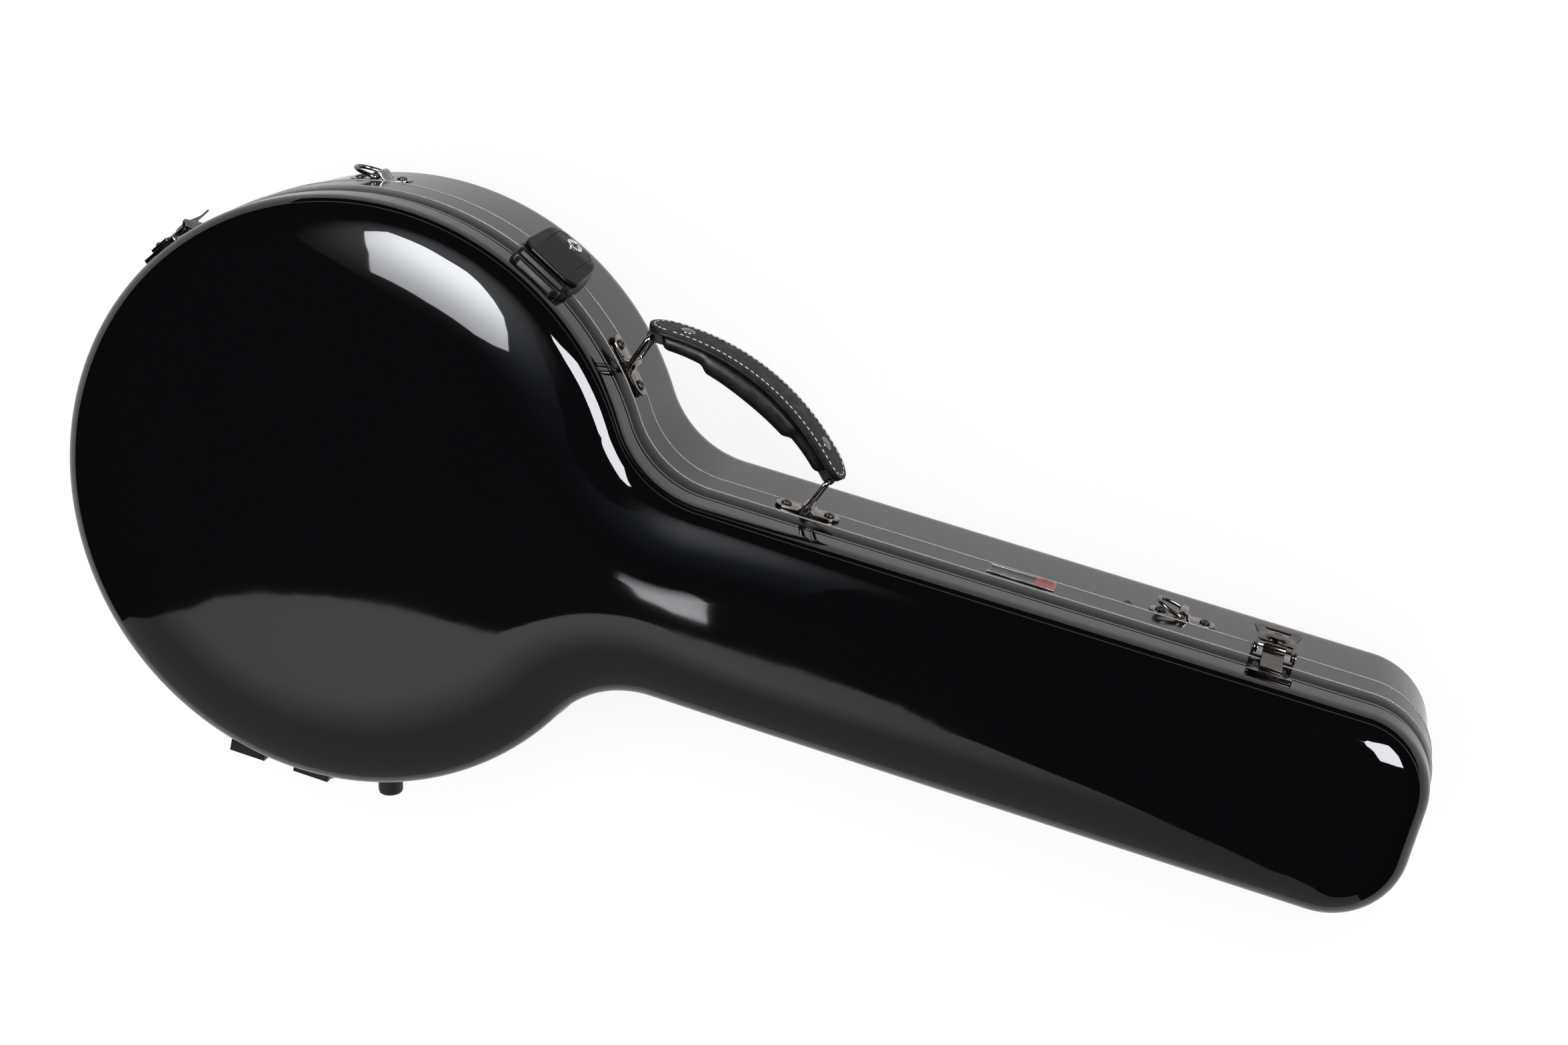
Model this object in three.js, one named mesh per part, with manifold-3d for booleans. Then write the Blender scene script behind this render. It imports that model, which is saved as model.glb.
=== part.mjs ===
// Hard banjo case, lying on its back, in millimetres.
// +X runs along the neck to the peghead end, +Y is the handle side, +Z points out of the lid.
// The origin is the centre of the round pot on the flat back.

import * as THREE from 'three';
import { mergeVertices } from 'three/addons/utils/BufferGeometryUtils.js';
import Module from 'manifold-3d';

const wasm = await Module();
wasm.setup();

// Driving sizes of the outline, seen from the lid
const POT_RADIUS = 202.5;
const NECK_HALF_WIDTH = 69;
const NECK_END_X = 722.5;
const END_CORNER_RADIUS = 51;
const THROAT_RADIUS = 67;
const POT_STEPS = 38;
const ARC_STEPS = 6;
const CURVE_STEPS = 4;

// Heights above the flat back
const BAND_BASE_Z = 84;
const STRIP_HEIGHT = 26;
const BEAD_HEIGHT = 19.4;
const BAND_LIP_THICKNESS = 3.1;
const SEAM_GAP = 0.6;
const LID_WALL_HEIGHT = 12;
const LID_RISE = 27;
const LID_REACH = 46;
const LID_FULLNESS_SHARE = 2.35;
const BACK_EDGE_RADIUS = 30;
const STRIP_TOP_Z = BAND_BASE_Z + STRIP_HEIGHT;
const BAND_TOP_Z = STRIP_TOP_Z + BEAD_HEIGHT;
const LID_BASE_Z = BAND_TOP_Z + SEAM_GAP;
const LID_EDGE_Z = LID_BASE_Z + LID_WALL_HEIGHT;
const STRIP_MID_Z = BAND_BASE_Z + STRIP_HEIGHT / 2;

// Walls and fits
const SHELL_WALL = 3;
const BAND_STEP = 2;
const LID_STEP = 1;
const FIT = 0.3;
const RUNNING_FIT = 0.4;
const CUT_OVERRUN = 2;

// Finishes
const FINISH = {
  gloss: { color: 0x070708, roughness: 0.08, metalness: 0 },
  band: { color: 0x1b1b1d, roughness: 0.2, metalness: 0.1 },
  nickel: { color: 0x4a4644, roughness: 0.22, metalness: 1 },
  screw: { color: 0x1c1b1b, roughness: 0.3, metalness: 0.9 },
  plastic: { color: 0x161617, roughness: 0.45, metalness: 0 },
  silver: { color: 0xc9c9cc, roughness: 0.25, metalness: 1 },
  leather: { color: 0x242424, roughness: 0.6, metalness: 0 },
  rubber: { color: 0x0e0e0e, roughness: 0.75, metalness: 0 },
  plush: { color: 0x23242a, roughness: 0.95, metalness: 0 },
  seal: { color: 0x050505, roughness: 0.8, metalness: 0 },
  badge: { color: 0x77706c, roughness: 0.35, metalness: 0.6 },
  ribbon: { color: 0x101012, roughness: 0.8, metalness: 0 },
};

function pieceMesh(name, geometry, finish) {
  const mesh = new THREE.Mesh(geometry, new THREE.MeshStandardMaterial(FINISH[finish]));
  mesh.name = name;
  return mesh;
}

// Solids: a closed geometry to a manifold and back
function toSolid(geometry) {
  const bare = geometry.clone();
  bare.deleteAttribute('normal');
  bare.deleteAttribute('uv');
  const welded = mergeVertices(bare);
  const index = welded.getIndex().array;
  const solid = new wasm.Manifold(new wasm.Mesh({
    numProp: 3,
    vertProperties: new Float32Array(welded.getAttribute('position').array),
    triVerts: new Uint32Array(index),
  }));
  return solid;
}

function toGeometry(solid) {
  const mesh = solid.getMesh();
  const geometry = new THREE.BufferGeometry();
  const places = new Float32Array(mesh.vertProperties);
  geometry.setAttribute('position', new THREE.BufferAttribute(places, mesh.numProp));
  geometry.setIndex(Array.from(mesh.triVerts));
  geometry.computeVertexNormals();
  return geometry;
}

// Turn a geometry the right way out when its faces look inwards
function facingOut(positions, index) {
  const a = new THREE.Vector3();
  const b = new THREE.Vector3();
  const c = new THREE.Vector3();
  let volume = 0;
  for (let i = 0; i < index.length; i += 3) {
    a.fromArray(positions, index[i] * 3);
    b.fromArray(positions, index[i + 1] * 3);
    c.fromArray(positions, index[i + 2] * 3);
    volume += a.dot(b.cross(c));
  }
  const faces = volume < 0 ? index.slice().reverse() : index;
  const geometry = new THREE.BufferGeometry();
  geometry.setAttribute('position', new THREE.Float32BufferAttribute(positions, 3));
  geometry.setIndex(faces);
  geometry.computeVertexNormals();
  return geometry;
}

// The outline, drawn at a depth inside the widest line; all its copies have matching points
function outline(inset) {
  const throatY = NECK_HALF_WIDTH + THROAT_RADIUS;
  const throatX = Math.sqrt((POT_RADIUS + THROAT_RADIUS) ** 2 - throatY ** 2);
  const turn = Math.atan2(throatY, throatX);
  const points = [];
  const arc = (cx, cy, radius, from, to, steps) => {
    for (let i = 0; i <= steps; i += 1) {
      const angle = from + (to - from) * i / steps;
      points.push(new THREE.Vector2(cx + radius * Math.cos(angle), cy + radius * Math.sin(angle)));
    }
  };
  const corner = END_CORNER_RADIUS - inset;
  const cornerX = NECK_END_X - END_CORNER_RADIUS;
  const cornerY = NECK_HALF_WIDTH - END_CORNER_RADIUS;
  arc(cornerX, -cornerY, corner, -Math.PI / 2, 0, ARC_STEPS);
  arc(cornerX, cornerY, corner, 0, Math.PI / 2, ARC_STEPS);
  arc(throatX, throatY, THROAT_RADIUS + inset, -Math.PI / 2, turn - Math.PI, ARC_STEPS);
  points.pop();
  arc(0, 0, POT_RADIUS - inset, turn, 2 * Math.PI - turn, POT_STEPS);
  points.pop();
  arc(throatX, -throatY, THROAT_RADIUS + inset, Math.PI - turn, Math.PI / 2, ARC_STEPS);
  return points;
}

// Skin over outlines at given insets and heights, from the first cap to the last
function loft(stations, closed = false) {
  const rings = stations.map(([inset, z]) => outline(inset).map((p) => new THREE.Vector3(p.x, p.y, z)));
  return skin(rings, closed);
}

function skin(rings, closed = false) {
  const count = rings[0].length;
  const positions = rings.flat().flatMap((p) => p.toArray());
  const index = [];
  const bands = closed ? rings.length : rings.length - 1;
  for (let r = 0; r < bands; r += 1) {
    const low = r * count;
    const high = ((r + 1) % rings.length) * count;
    for (let i = 0; i < count; i += 1) {
      const j = (i + 1) % count;
      index.push(low + i, low + j, high + j, low + i, high + j, high + i);
    }
  }
  if (!closed) {
    const cap = (start, ring, flip) => {
      const flat = flatten(ring);
      THREE.ShapeUtils.triangulateShape(flat, []).forEach(([a, b, c]) => {
        index.push(...(flip ? [start + a, start + c, start + b] : [start + a, start + b, start + c]));
      });
    };
    cap(0, rings[0], true);
    cap((rings.length - 1) * count, rings[rings.length - 1], false);
  }
  return facingOut(positions, index);
}

// A planar ring as 2D points, counter-clockwise about the way that the skin runs
function flatten(ring) {
  const normal = new THREE.Vector3();
  ring.forEach((p, i) => {
    normal.add(new THREE.Vector3().crossVectors(p, ring[(i + 1) % ring.length]));
  });
  normal.normalize();
  const side = new THREE.Vector3(0, 0, 1).cross(normal);
  if (side.lengthSq() < Number.EPSILON) side.set(1, 0, 0);
  side.normalize();
  const up = new THREE.Vector3().crossVectors(normal, side);
  return ring.map((p) => new THREE.Vector2(p.dot(side), p.dot(up)));
}

// Stations of a rounded edge, as [inset, height] pairs; sweep runs from the flat face to the wall
function roundedEdge(baseInset, radius, flatZ, direction, steps = ARC_STEPS - 2) {
  const stations = [];
  for (let i = 0; i <= steps; i += 1) {
    const angle = (Math.PI / 2) * i / steps;
    stations.push([
      baseInset + radius * (1 - Math.sin(angle)),
      flatZ + direction * radius * (1 - Math.cos(angle)),
    ]);
  }
  return stations;
}

// Prisms drawn in the frame of a side fitting: X along the wall, Y out of it, Z up
function prism(shape, depth, steps = CURVE_STEPS) {
  return new THREE.ExtrudeGeometry(shape, { depth, bevelEnabled: false, curveSegments: steps });
}

function alongUp(shape, low, high) {
  return prism(shape, high - low).translate(0, 0, low);
}

function alongWall(shape, from, to) {
  const cycle = new THREE.Matrix4().makeBasis(
    new THREE.Vector3(0, 1, 0),
    new THREE.Vector3(0, 0, 1),
    new THREE.Vector3(1, 0, 0),
  );
  return prism(shape, to - from).translate(0, 0, from).applyMatrix4(cycle);
}

function outOfWall(shape, low, high) {
  return prism(shape, high - low).translate(0, 0, -high).rotateX(Math.PI / 2);
}

function rodAlongWall(radius, from, to, y, z, sides = 12) {
  const rod = new THREE.CylinderGeometry(radius, radius, to - from, sides);
  return rod.rotateZ(Math.PI / 2).translate((from + to) / 2, y, z);
}

function rodOutOfWall(radius, low, high, x, z, sides = 12) {
  return new THREE.CylinderGeometry(radius, radius, high - low, sides).translate(x, (low + high) / 2, z);
}

function rodUp(radius, low, high, x, y, sides = 12) {
  const rod = new THREE.CylinderGeometry(radius, radius, high - low, sides);
  return rod.rotateX(Math.PI / 2).translate(x, y, (low + high) / 2);
}

function block(x0, x1, y0, y1, z0, z1) {
  return new THREE.BoxGeometry(x1 - x0, y1 - y0, z1 - z0)
    .translate((x0 + x1) / 2, (y0 + y1) / 2, (z0 + z1) / 2);
}

function union(first, ...others) {
  return others.reduce((sum, next) => sum.add(toSolid(next)), toSolid(first));
}

function cut(solid, ...tools) {
  return tools.reduce((rest, tool) => rest.subtract(toSolid(tool)), solid);
}

function stadium(length, width) {
  const half = (length - width) / 2;
  const shape = new THREE.Shape();
  shape.absarc(half, 0, width / 2, -Math.PI / 2, Math.PI / 2, false);
  shape.absarc(-half, 0, width / 2, Math.PI / 2, Math.PI * 3 / 2, false);
  return shape;
}

function roundedRectangle(x0, x1, y0, y1, radius) {
  const shape = new THREE.Shape();
  shape.absarc(x1 - radius, y0 + radius, radius, -Math.PI / 2, 0, false);
  shape.absarc(x1 - radius, y1 - radius, radius, 0, Math.PI / 2, false);
  shape.absarc(x0 + radius, y1 - radius, radius, Math.PI / 2, Math.PI, false);
  shape.absarc(x0 + radius, y0 + radius, radius, Math.PI, Math.PI * 3 / 2, false);
  return shape;
}

function polygon(points) {
  return new THREE.Shape(points.map(([x, y]) => new THREE.Vector2(x, y)));
}

// A wire bent to a closed flat ring; normal is square to the ring's plane
function wireRing(points, normal, radius, sides = 8) {
  const rings = points.map((point, i) => {
    const before = points[(i + points.length - 1) % points.length];
    const after = points[(i + 1) % points.length];
    const along = after.clone().sub(before).normalize();
    const side = new THREE.Vector3().crossVectors(normal, along);
    return Array.from({ length: sides }, (_, k) => {
      const angle = 2 * Math.PI * k / sides;
      return point.clone()
        .addScaledVector(side, radius * Math.cos(angle))
        .addScaledVector(normal, radius * Math.sin(angle));
    });
  });
  return skin(rings, true);
}

// A fitting's place on the pot, by its angle from the neck, or on the neck, by its place along it
function onPot(degrees) {
  const angle = THREE.MathUtils.degToRad(degrees);
  const place = new THREE.Group();
  place.position.set(POT_RADIUS * Math.cos(angle), POT_RADIUS * Math.sin(angle), 0);
  place.rotation.z = angle - Math.PI / 2;
  return place;
}

function onNeck(x) {
  const place = new THREE.Group();
  place.position.set(x, NECK_HALF_WIDTH, 0);
  return place;
}

// Rear shell: a moulded tub with a rounded back edge
const REAR_RIM_Z = BAND_TOP_Z - BAND_LIP_THICKNESS - FIT;

function rearShell() {
  const inner = BAND_STEP + SHELL_WALL;
  const stations = [
    ...roundedEdge(BAND_STEP, BACK_EDGE_RADIUS, 0, 1),
    [BAND_STEP, REAR_RIM_Z],
    [inner, REAR_RIM_Z],
    ...roundedEdge(inner, BACK_EDGE_RADIUS - SHELL_WALL, SHELL_WALL, 1).reverse(),
  ];
  return pieceMesh('rear_shell', loft(stations), 'gloss');
}

// Rim band: a flat strip with a raised line on each edge, a rounded bead and a lip over the rim
const LINE_PROUD = 0.5;
const LINE_HEIGHT = 1.4;
const BEAD_DROP = 4.5;
const BEAD_RISE_POWER_SHARE = 0.8;
const BAND_LIP = 2.6;

function rimBand() {
  const back = BAND_STEP - FIT;
  const lipInset = BAND_STEP + SHELL_WALL + BAND_LIP;
  const bead = [];
  for (let i = 1; i <= ARC_STEPS - 1; i += 1) {
    const share = i / (ARC_STEPS - 1);
    const rise = (BEAD_HEIGHT - LINE_HEIGHT) * share ** BEAD_RISE_POWER_SHARE;
    bead.push([BEAD_DROP * share ** 2, STRIP_TOP_Z + LINE_HEIGHT + rise]);
  }
  const stations = [
    [back, BAND_BASE_Z],
    [-LINE_PROUD, BAND_BASE_Z],
    [-LINE_PROUD, BAND_BASE_Z + LINE_HEIGHT],
    [0, BAND_BASE_Z + LINE_HEIGHT],
    [0, STRIP_TOP_Z],
    [-LINE_PROUD, STRIP_TOP_Z],
    [-LINE_PROUD, STRIP_TOP_Z + LINE_HEIGHT],
    ...bead,
    [lipInset, BAND_TOP_Z],
    [lipInset, REAR_RIM_Z + FIT],
    [back, REAR_RIM_Z + FIT],
  ];
  return pieceMesh('rim_band', loft(stations, true), 'band');
}

// Lid shell: the rounded, slightly crowned face of the case
// Stations of the lid at a depth under its outside, from the flat face down to the wall
function lidSection(depth, steps = ARC_STEPS) {
  const power = 2 / LID_FULLNESS_SHARE;
  const stations = [];
  for (let i = 0; i <= steps; i += 1) {
    const angle = (Math.PI / 2) * i / steps;
    stations.push([
      LID_STEP + depth + (LID_REACH - depth) * (1 - Math.sin(angle) ** power),
      LID_EDGE_Z + (LID_RISE - depth) * Math.cos(angle) ** power,
    ]);
  }
  return stations;
}

function lidShell() {
  const stations = [
    ...lidSection(0),
    [LID_STEP, LID_BASE_Z],
    [LID_STEP + SHELL_WALL, LID_BASE_Z],
    ...lidSection(SHELL_WALL).reverse(),
  ];
  return pieceMesh('lid_shell', loft(stations), 'gloss');
}

// Rim seal on the band's lip, and the locating rim that the lid carries inside
const SEAL_WIDTH = 2.4;
const TONGUE_THICKNESS = 1.8;
const TONGUE_DROP = 5;
const TONGUE_RISE = 10;
const SEAL_INSET = BEAD_DROP + FIT;
const TONGUE_INSET = BAND_STEP + SHELL_WALL + BAND_LIP + RUNNING_FIT;

function rimSeal() {
  const outer = SEAL_INSET;
  const inner = SEAL_INSET + SEAL_WIDTH;
  const low = BAND_TOP_Z;
  const high = LID_BASE_Z;
  return pieceMesh('rim_seal', loft([[outer, low], [outer, high], [inner, high], [inner, low]], true), 'seal');
}

function locatingRim() {
  const wallInset = LID_STEP + SHELL_WALL + FIT;
  const inner = TONGUE_INSET + TONGUE_THICKNESS;
  const shoulder = LID_BASE_Z + FIT;
  const stations = [
    [TONGUE_INSET, BAND_TOP_Z - TONGUE_DROP],
    [TONGUE_INSET, shoulder],
    [wallInset, shoulder],
    [wallInset, LID_BASE_Z + TONGUE_RISE],
    [inner, LID_BASE_Z + TONGUE_RISE],
    [inner, BAND_TOP_Z - TONGUE_DROP],
  ];
  return pieceMesh('locating_rim', loft(stations, true), 'band');
}

// Linings: padded floor and face with the padded sides that stand on them
const BASE_PAD = 14;
const BASE_FLOOR_PAD = 12;
const BASE_PAD_DROP = 3.4;
const LID_PAD = 9;
const BASE_PAD_TOP_Z = BAND_TOP_Z - TONGUE_DROP - BASE_PAD_DROP;
const FLOOR_Z = SHELL_WALL + FIT + BASE_FLOOR_PAD;
const PAD_OUTER = BAND_STEP + SHELL_WALL + FIT;
const PAD_INNER = PAD_OUTER + BASE_PAD;
const LID_PAD_OUTER = TONGUE_INSET + TONGUE_THICKNESS + FIT;
const LID_PAD_INNER = LID_PAD_OUTER + LID_PAD;
const LID_FACE_PAD = 13;
const LID_PAD_ROUND = 7;
const LID_PAD_UNDER_Z = LID_EDGE_Z + LID_RISE - SHELL_WALL - FIT - LID_FACE_PAD;
const LIP_ROUND_SHARE = 0.33;

function paddedLip(outer, inner, low, high, steps = 2) {
  const half = (inner - outer) / 2;
  const stations = [];
  for (let i = 0; i <= steps; i += 1) {
    const angle = Math.PI * i / steps;
    stations.push([outer + half * (1 - Math.cos(angle)), low + (high - low) * Math.sin(angle)]);
  }
  return stations;
}

function baseLinings() {
  const outerRadius = BACK_EDGE_RADIUS - SHELL_WALL - FIT;
  const innerRadius = outerRadius - BASE_FLOOR_PAD;
  const shoulder = BASE_PAD_TOP_Z - BASE_PAD * LIP_ROUND_SHARE;
  const floor = [
    ...roundedEdge(PAD_OUTER, outerRadius, SHELL_WALL + FIT, 1),
    ...roundedEdge(PAD_INNER, innerRadius, FLOOR_Z, 1, 3).reverse(),
  ];
  const side = [
    [PAD_OUTER, BACK_EDGE_RADIUS + FIT],
    ...paddedLip(PAD_OUTER, PAD_INNER, shoulder, BASE_PAD_TOP_Z),
    [PAD_INNER, BACK_EDGE_RADIUS + FIT],
  ];
  return [
    pieceMesh('base_floor_lining', loft(floor), 'plush'),
    pieceMesh('base_side_lining', loft(side, true), 'plush'),
  ];
}

function lidLinings() {
  const low = LID_BASE_Z + TONGUE_RISE / 2;
  const high = LID_PAD_UNDER_Z - LID_PAD_ROUND;
  const face = [
    ...lidSection(SHELL_WALL + FIT, ARC_STEPS / 2).filter(([, z]) => z > high),
    [LID_PAD_OUTER, high],
    ...roundedEdge(LID_PAD_INNER, LID_PAD_ROUND, LID_PAD_UNDER_Z, -1, 2).reverse(),
  ];
  const side = [
    [LID_PAD_OUTER, high - FIT],
    [LID_PAD_INNER, high - FIT],
    ...paddedLip(LID_PAD_OUTER, LID_PAD_INNER, low + LID_PAD * LIP_ROUND_SHARE, low).reverse(),
  ];
  return [
    pieceMesh('lid_face_lining', loft(face), 'plush'),
    pieceMesh('lid_side_lining', loft(side, true), 'plush'),
  ];
}

// The room inside the base lining, less the clearance and the wall of what stands in it
function liningRoom(wall = 0) {
  const radius = BACK_EDGE_RADIUS - SHELL_WALL - FIT - BASE_FLOOR_PAD - wall;
  const side = PAD_INNER + FIT + wall;
  const stations = [
    ...roundedEdge(side, radius, FLOOR_Z + FIT + wall, 1, 3),
    [side, BASE_PAD_TOP_Z],
  ];
  return toSolid(loft(stations));
}

// Padded neck cradle with a rounded saddle, and a crowned pad under the peghead
const CRADLE_X = 236;
const CRADLE_LENGTH = 42;
const CRADLE_TOP_Z = 108;
const SADDLE_WIDTH = 58;
const SADDLE_DEPTH = 22;
const NECK_ROOM = NECK_HALF_WIDTH - PAD_INNER;
const PEGHEAD_PAD_X = 598;
const PEGHEAD_PAD_LENGTH = 96;
const PEGHEAD_PAD_HEIGHT = 52;
const PEGHEAD_PAD_CROWN = 8;
const PEGHEAD_PAD_CORNER = 12;
const CROWN_DRAW_IN_SHARE = 0.8;
const SIDE_DRAW_IN_SHARE = 0.25;

function neckCradle() {
  const half = NECK_ROOM - FIT;
  const saddle = SADDLE_WIDTH / 2;
  const shape = new THREE.Shape();
  shape.moveTo(-half, FLOOR_Z + FIT);
  shape.lineTo(half, FLOOR_Z + FIT);
  shape.lineTo(half, CRADLE_TOP_Z);
  shape.lineTo(saddle, CRADLE_TOP_Z);
  shape.absellipse(0, CRADLE_TOP_Z, saddle, SADDLE_DEPTH, 0, Math.PI, true, 0);
  shape.lineTo(-half, CRADLE_TOP_Z);
  const start = CRADLE_X - CRADLE_LENGTH / 2;
  const solid = prism(shape, CRADLE_LENGTH, ARC_STEPS + 2);
  const upright = new THREE.Matrix4().makeBasis(
    new THREE.Vector3(0, 1, 0),
    new THREE.Vector3(0, 0, 1),
    new THREE.Vector3(1, 0, 0),
  );
  const cradle = toSolid(solid.applyMatrix4(upright).translate(start, 0, 0)).intersect(liningRoom());
  return pieceMesh('neck_cradle', toGeometry(cradle), 'plush');
}

function cushion(name, x0, x1, halfWidth, low, height, crown, corner) {
  const levels = 4;
  const rings = [];
  for (let i = 0; i <= levels; i += 1) {
    const share = i / levels;
    const drawIn = corner * SIDE_DRAW_IN_SHARE * (1 - Math.sin(Math.PI * share));
    rings.push([drawIn, low + (height - crown) * share]);
  }
  for (let i = 1; i <= levels - 1; i += 1) {
    const share = i / levels;
    const drawIn = corner * SIDE_DRAW_IN_SHARE + halfWidth * CROWN_DRAW_IN_SHARE * share ** 2;
    rings.push([drawIn, low + height - crown * (1 - share) ** 2]);
  }
  const stations = rings.map(([inset, z]) => {
    const half = halfWidth - inset;
    const shape = roundedRectangle(x0 + inset, x1 - inset, -half, half, corner * half / halfWidth);
    return shape.getPoints(4).map((p) => new THREE.Vector3(p.x, p.y, z));
  });
  return pieceMesh(name, toGeometry(toSolid(skin(stations)).intersect(liningRoom())), 'plush');
}

function pegheadPad() {
  const start = PEGHEAD_PAD_X - PEGHEAD_PAD_LENGTH / 2;
  return cushion(
    'peghead_pad',
    start,
    start + PEGHEAD_PAD_LENGTH,
    NECK_ROOM - FIT,
    FLOOR_Z + FIT,
    PEGHEAD_PAD_HEIGHT,
    PEGHEAD_PAD_CROWN,
    PEGHEAD_PAD_CORNER,
  );
}

// Accessory compartment under the neck: a box, a hinged lid and its pull tab
const BOX_START_X = CRADLE_X + CRADLE_LENGTH / 2 + FIT;
const BOX_LENGTH = 168;
const BOX_WALL = 4;
const BOX_TOP_Z = 66;
const BOX_LID_THICKNESS = 4;
const BOX_LID_SHARE = 0.42;
const BOX_PIN_RADIUS = 1.5;
const BOX_BARREL_RADIUS = 3;
const BOX_BARREL_LIFT = 0.6;
const BOX_SADDLE_REACH = 9;
const TAB_WIDTH = 16;
const TAB_LENGTH = 18;
const TAB_THICKNESS = 1.6;
const TAB_CORNER = 5;
const BOX_END_X = BOX_START_X + BOX_LENGTH;
const BOX_LID_LENGTH = BOX_LENGTH * BOX_LID_SHARE;
const BOX_PIVOT_X = BOX_END_X - BOX_LID_LENGTH;
const BOX_PIVOT_Z = BOX_TOP_Z + BOX_BARREL_RADIUS + BOX_BARREL_LIFT;

function compartmentBox() {
  const half = NECK_ROOM - FIT;
  const low = FLOOR_Z + FIT;
  const shell = union(block(BOX_START_X, BOX_END_X, -half, half, low, BOX_TOP_Z));
  const hollow = block(
    BOX_START_X + BOX_WALL,
    BOX_END_X - BOX_WALL,
    BOX_WALL - half,
    half - BOX_WALL,
    low + BOX_WALL,
    BOX_TOP_Z + CUT_OVERRUN,
  );
  const shelf = block(
    BOX_START_X + BOX_WALL / 2,
    BOX_PIVOT_X - BOX_BARREL_RADIUS - FIT,
    BOX_WALL / 2 - half,
    half - BOX_WALL / 2,
    BOX_TOP_Z - BOX_WALL,
    BOX_TOP_Z,
  );
  const saddle = block(
    BOX_PIVOT_X - BOX_SADDLE_REACH,
    BOX_PIVOT_X - BOX_BARREL_RADIUS - FIT,
    -half,
    half,
    BOX_TOP_Z - BOX_WALL,
    BOX_PIVOT_Z,
  );
  const pin = new THREE.CylinderGeometry(BOX_PIN_RADIUS, BOX_PIN_RADIUS, 2 * half, 12);
  pin.translate(BOX_PIVOT_X, 0, BOX_PIVOT_Z);
  const ear = (side) => {
    const y = side * (half - BOX_WALL / 2);
    return block(
      BOX_PIVOT_X - BOX_SADDLE_REACH,
      BOX_PIVOT_X + BOX_PIN_RADIUS,
      y - BOX_WALL / 2,
      y + BOX_WALL / 2,
      BOX_TOP_Z - BOX_WALL,
      BOX_PIVOT_Z + BOX_PIN_RADIUS,
    );
  };
  const walls = shell.intersect(liningRoom()).subtract(toSolid(hollow).intersect(liningRoom(BOX_WALL)));
  const solid = walls.add(union(shelf, saddle, pin, ear(-1), ear(1)));
  return pieceMesh('compartment_box', toGeometry(solid), 'plush');
}

function compartmentLid() {
  const half = NECK_ROOM - FIT - BOX_WALL - RUNNING_FIT;
  const low = BOX_TOP_Z + FIT - BOX_PIVOT_Z;
  const plate = block(
    0,
    BOX_LID_LENGTH,
    -half,
    half,
    low,
    low + BOX_LID_THICKNESS,
  );
  const barrel = new THREE.CylinderGeometry(BOX_BARREL_RADIUS, BOX_BARREL_RADIUS, 2 * half, 16);
  const bore = new THREE.CylinderGeometry(
    BOX_PIN_RADIUS + RUNNING_FIT,
    BOX_PIN_RADIUS + RUNNING_FIT,
    2 * half + CUT_OVERRUN,
    16,
  );
  return pieceMesh('compartment_lid', toGeometry(cut(union(plate, barrel), bore)), 'plush');
}

function compartmentTab() {
  const low = BOX_TOP_Z + FIT - BOX_PIVOT_Z + BOX_LID_THICKNESS + FIT;
  const shape = roundedRectangle(
    BOX_LID_LENGTH - TAB_LENGTH,
    BOX_LID_LENGTH,
    -TAB_WIDTH / 2,
    TAB_WIDTH / 2,
    TAB_CORNER,
  );
  return pieceMesh('compartment_tab', alongUp(shape, low, low + TAB_THICKNESS), 'ribbon');
}

// Plate fittings: an oblong plate, two screws and a raised saddle over a wire bar
const PLATE_LENGTH = 44;
const PLATE_WIDTH = 15;
const PLATE_THICKNESS = 1.5;
const WIRE_RADIUS = 1.8;
const BAR_LIFT = 4;
const SADDLE_WALL = 1.5;
const SADDLE_FLARE = 2.4;
const SCREW_TOP_SHARE = 0.7;
const SCREW_HEAD_RADIUS = 3.6;
const SCREW_HEAD_HEIGHT = 1.7;
const SCREW_SHANK_RADIUS = 1.8;
const SCREW_INSET = 7.2;

function saddlePlate(name, seatY, midZ) {
  const seat = seatY + FIT;
  const bar = seatY + BAR_LIFT;
  const inside = WIRE_RADIUS + FIT;
  const outside = inside + SADDLE_WALL;
  const end = PLATE_LENGTH / 2;
  const profile = new THREE.Shape();
  profile.moveTo(-end, seat);
  profile.lineTo(-inside - SADDLE_FLARE, seat);
  profile.absarc(0, bar, inside, Math.PI, 0, true);
  profile.lineTo(inside + SADDLE_FLARE, seat);
  profile.lineTo(end, seat);
  profile.lineTo(end, seat + PLATE_THICKNESS);
  profile.lineTo(outside + SADDLE_FLARE, seat + PLATE_THICKNESS);
  profile.absarc(0, bar, outside, 0, Math.PI, false);
  profile.lineTo(-outside - SADDLE_FLARE, seat + PLATE_THICKNESS);
  profile.lineTo(-end, seat + PLATE_THICKNESS);
  const strip = toSolid(alongUp(profile, midZ - PLATE_WIDTH / 2, midZ + PLATE_WIDTH / 2));
  const plan = outOfWall(stadium(PLATE_LENGTH, PLATE_WIDTH), seatY, bar + outside).translate(0, 0, midZ);
  const holes = [-1, 1].map((side) => rodOutOfWall(
    SCREW_SHANK_RADIUS + FIT,
    seatY - CUT_OVERRUN,
    bar,
    side * (end - SCREW_INSET),
    midZ,
  ));
  return pieceMesh(name, toGeometry(cut(strip.intersect(toSolid(plan)), ...holes)), 'nickel');
}

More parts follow.
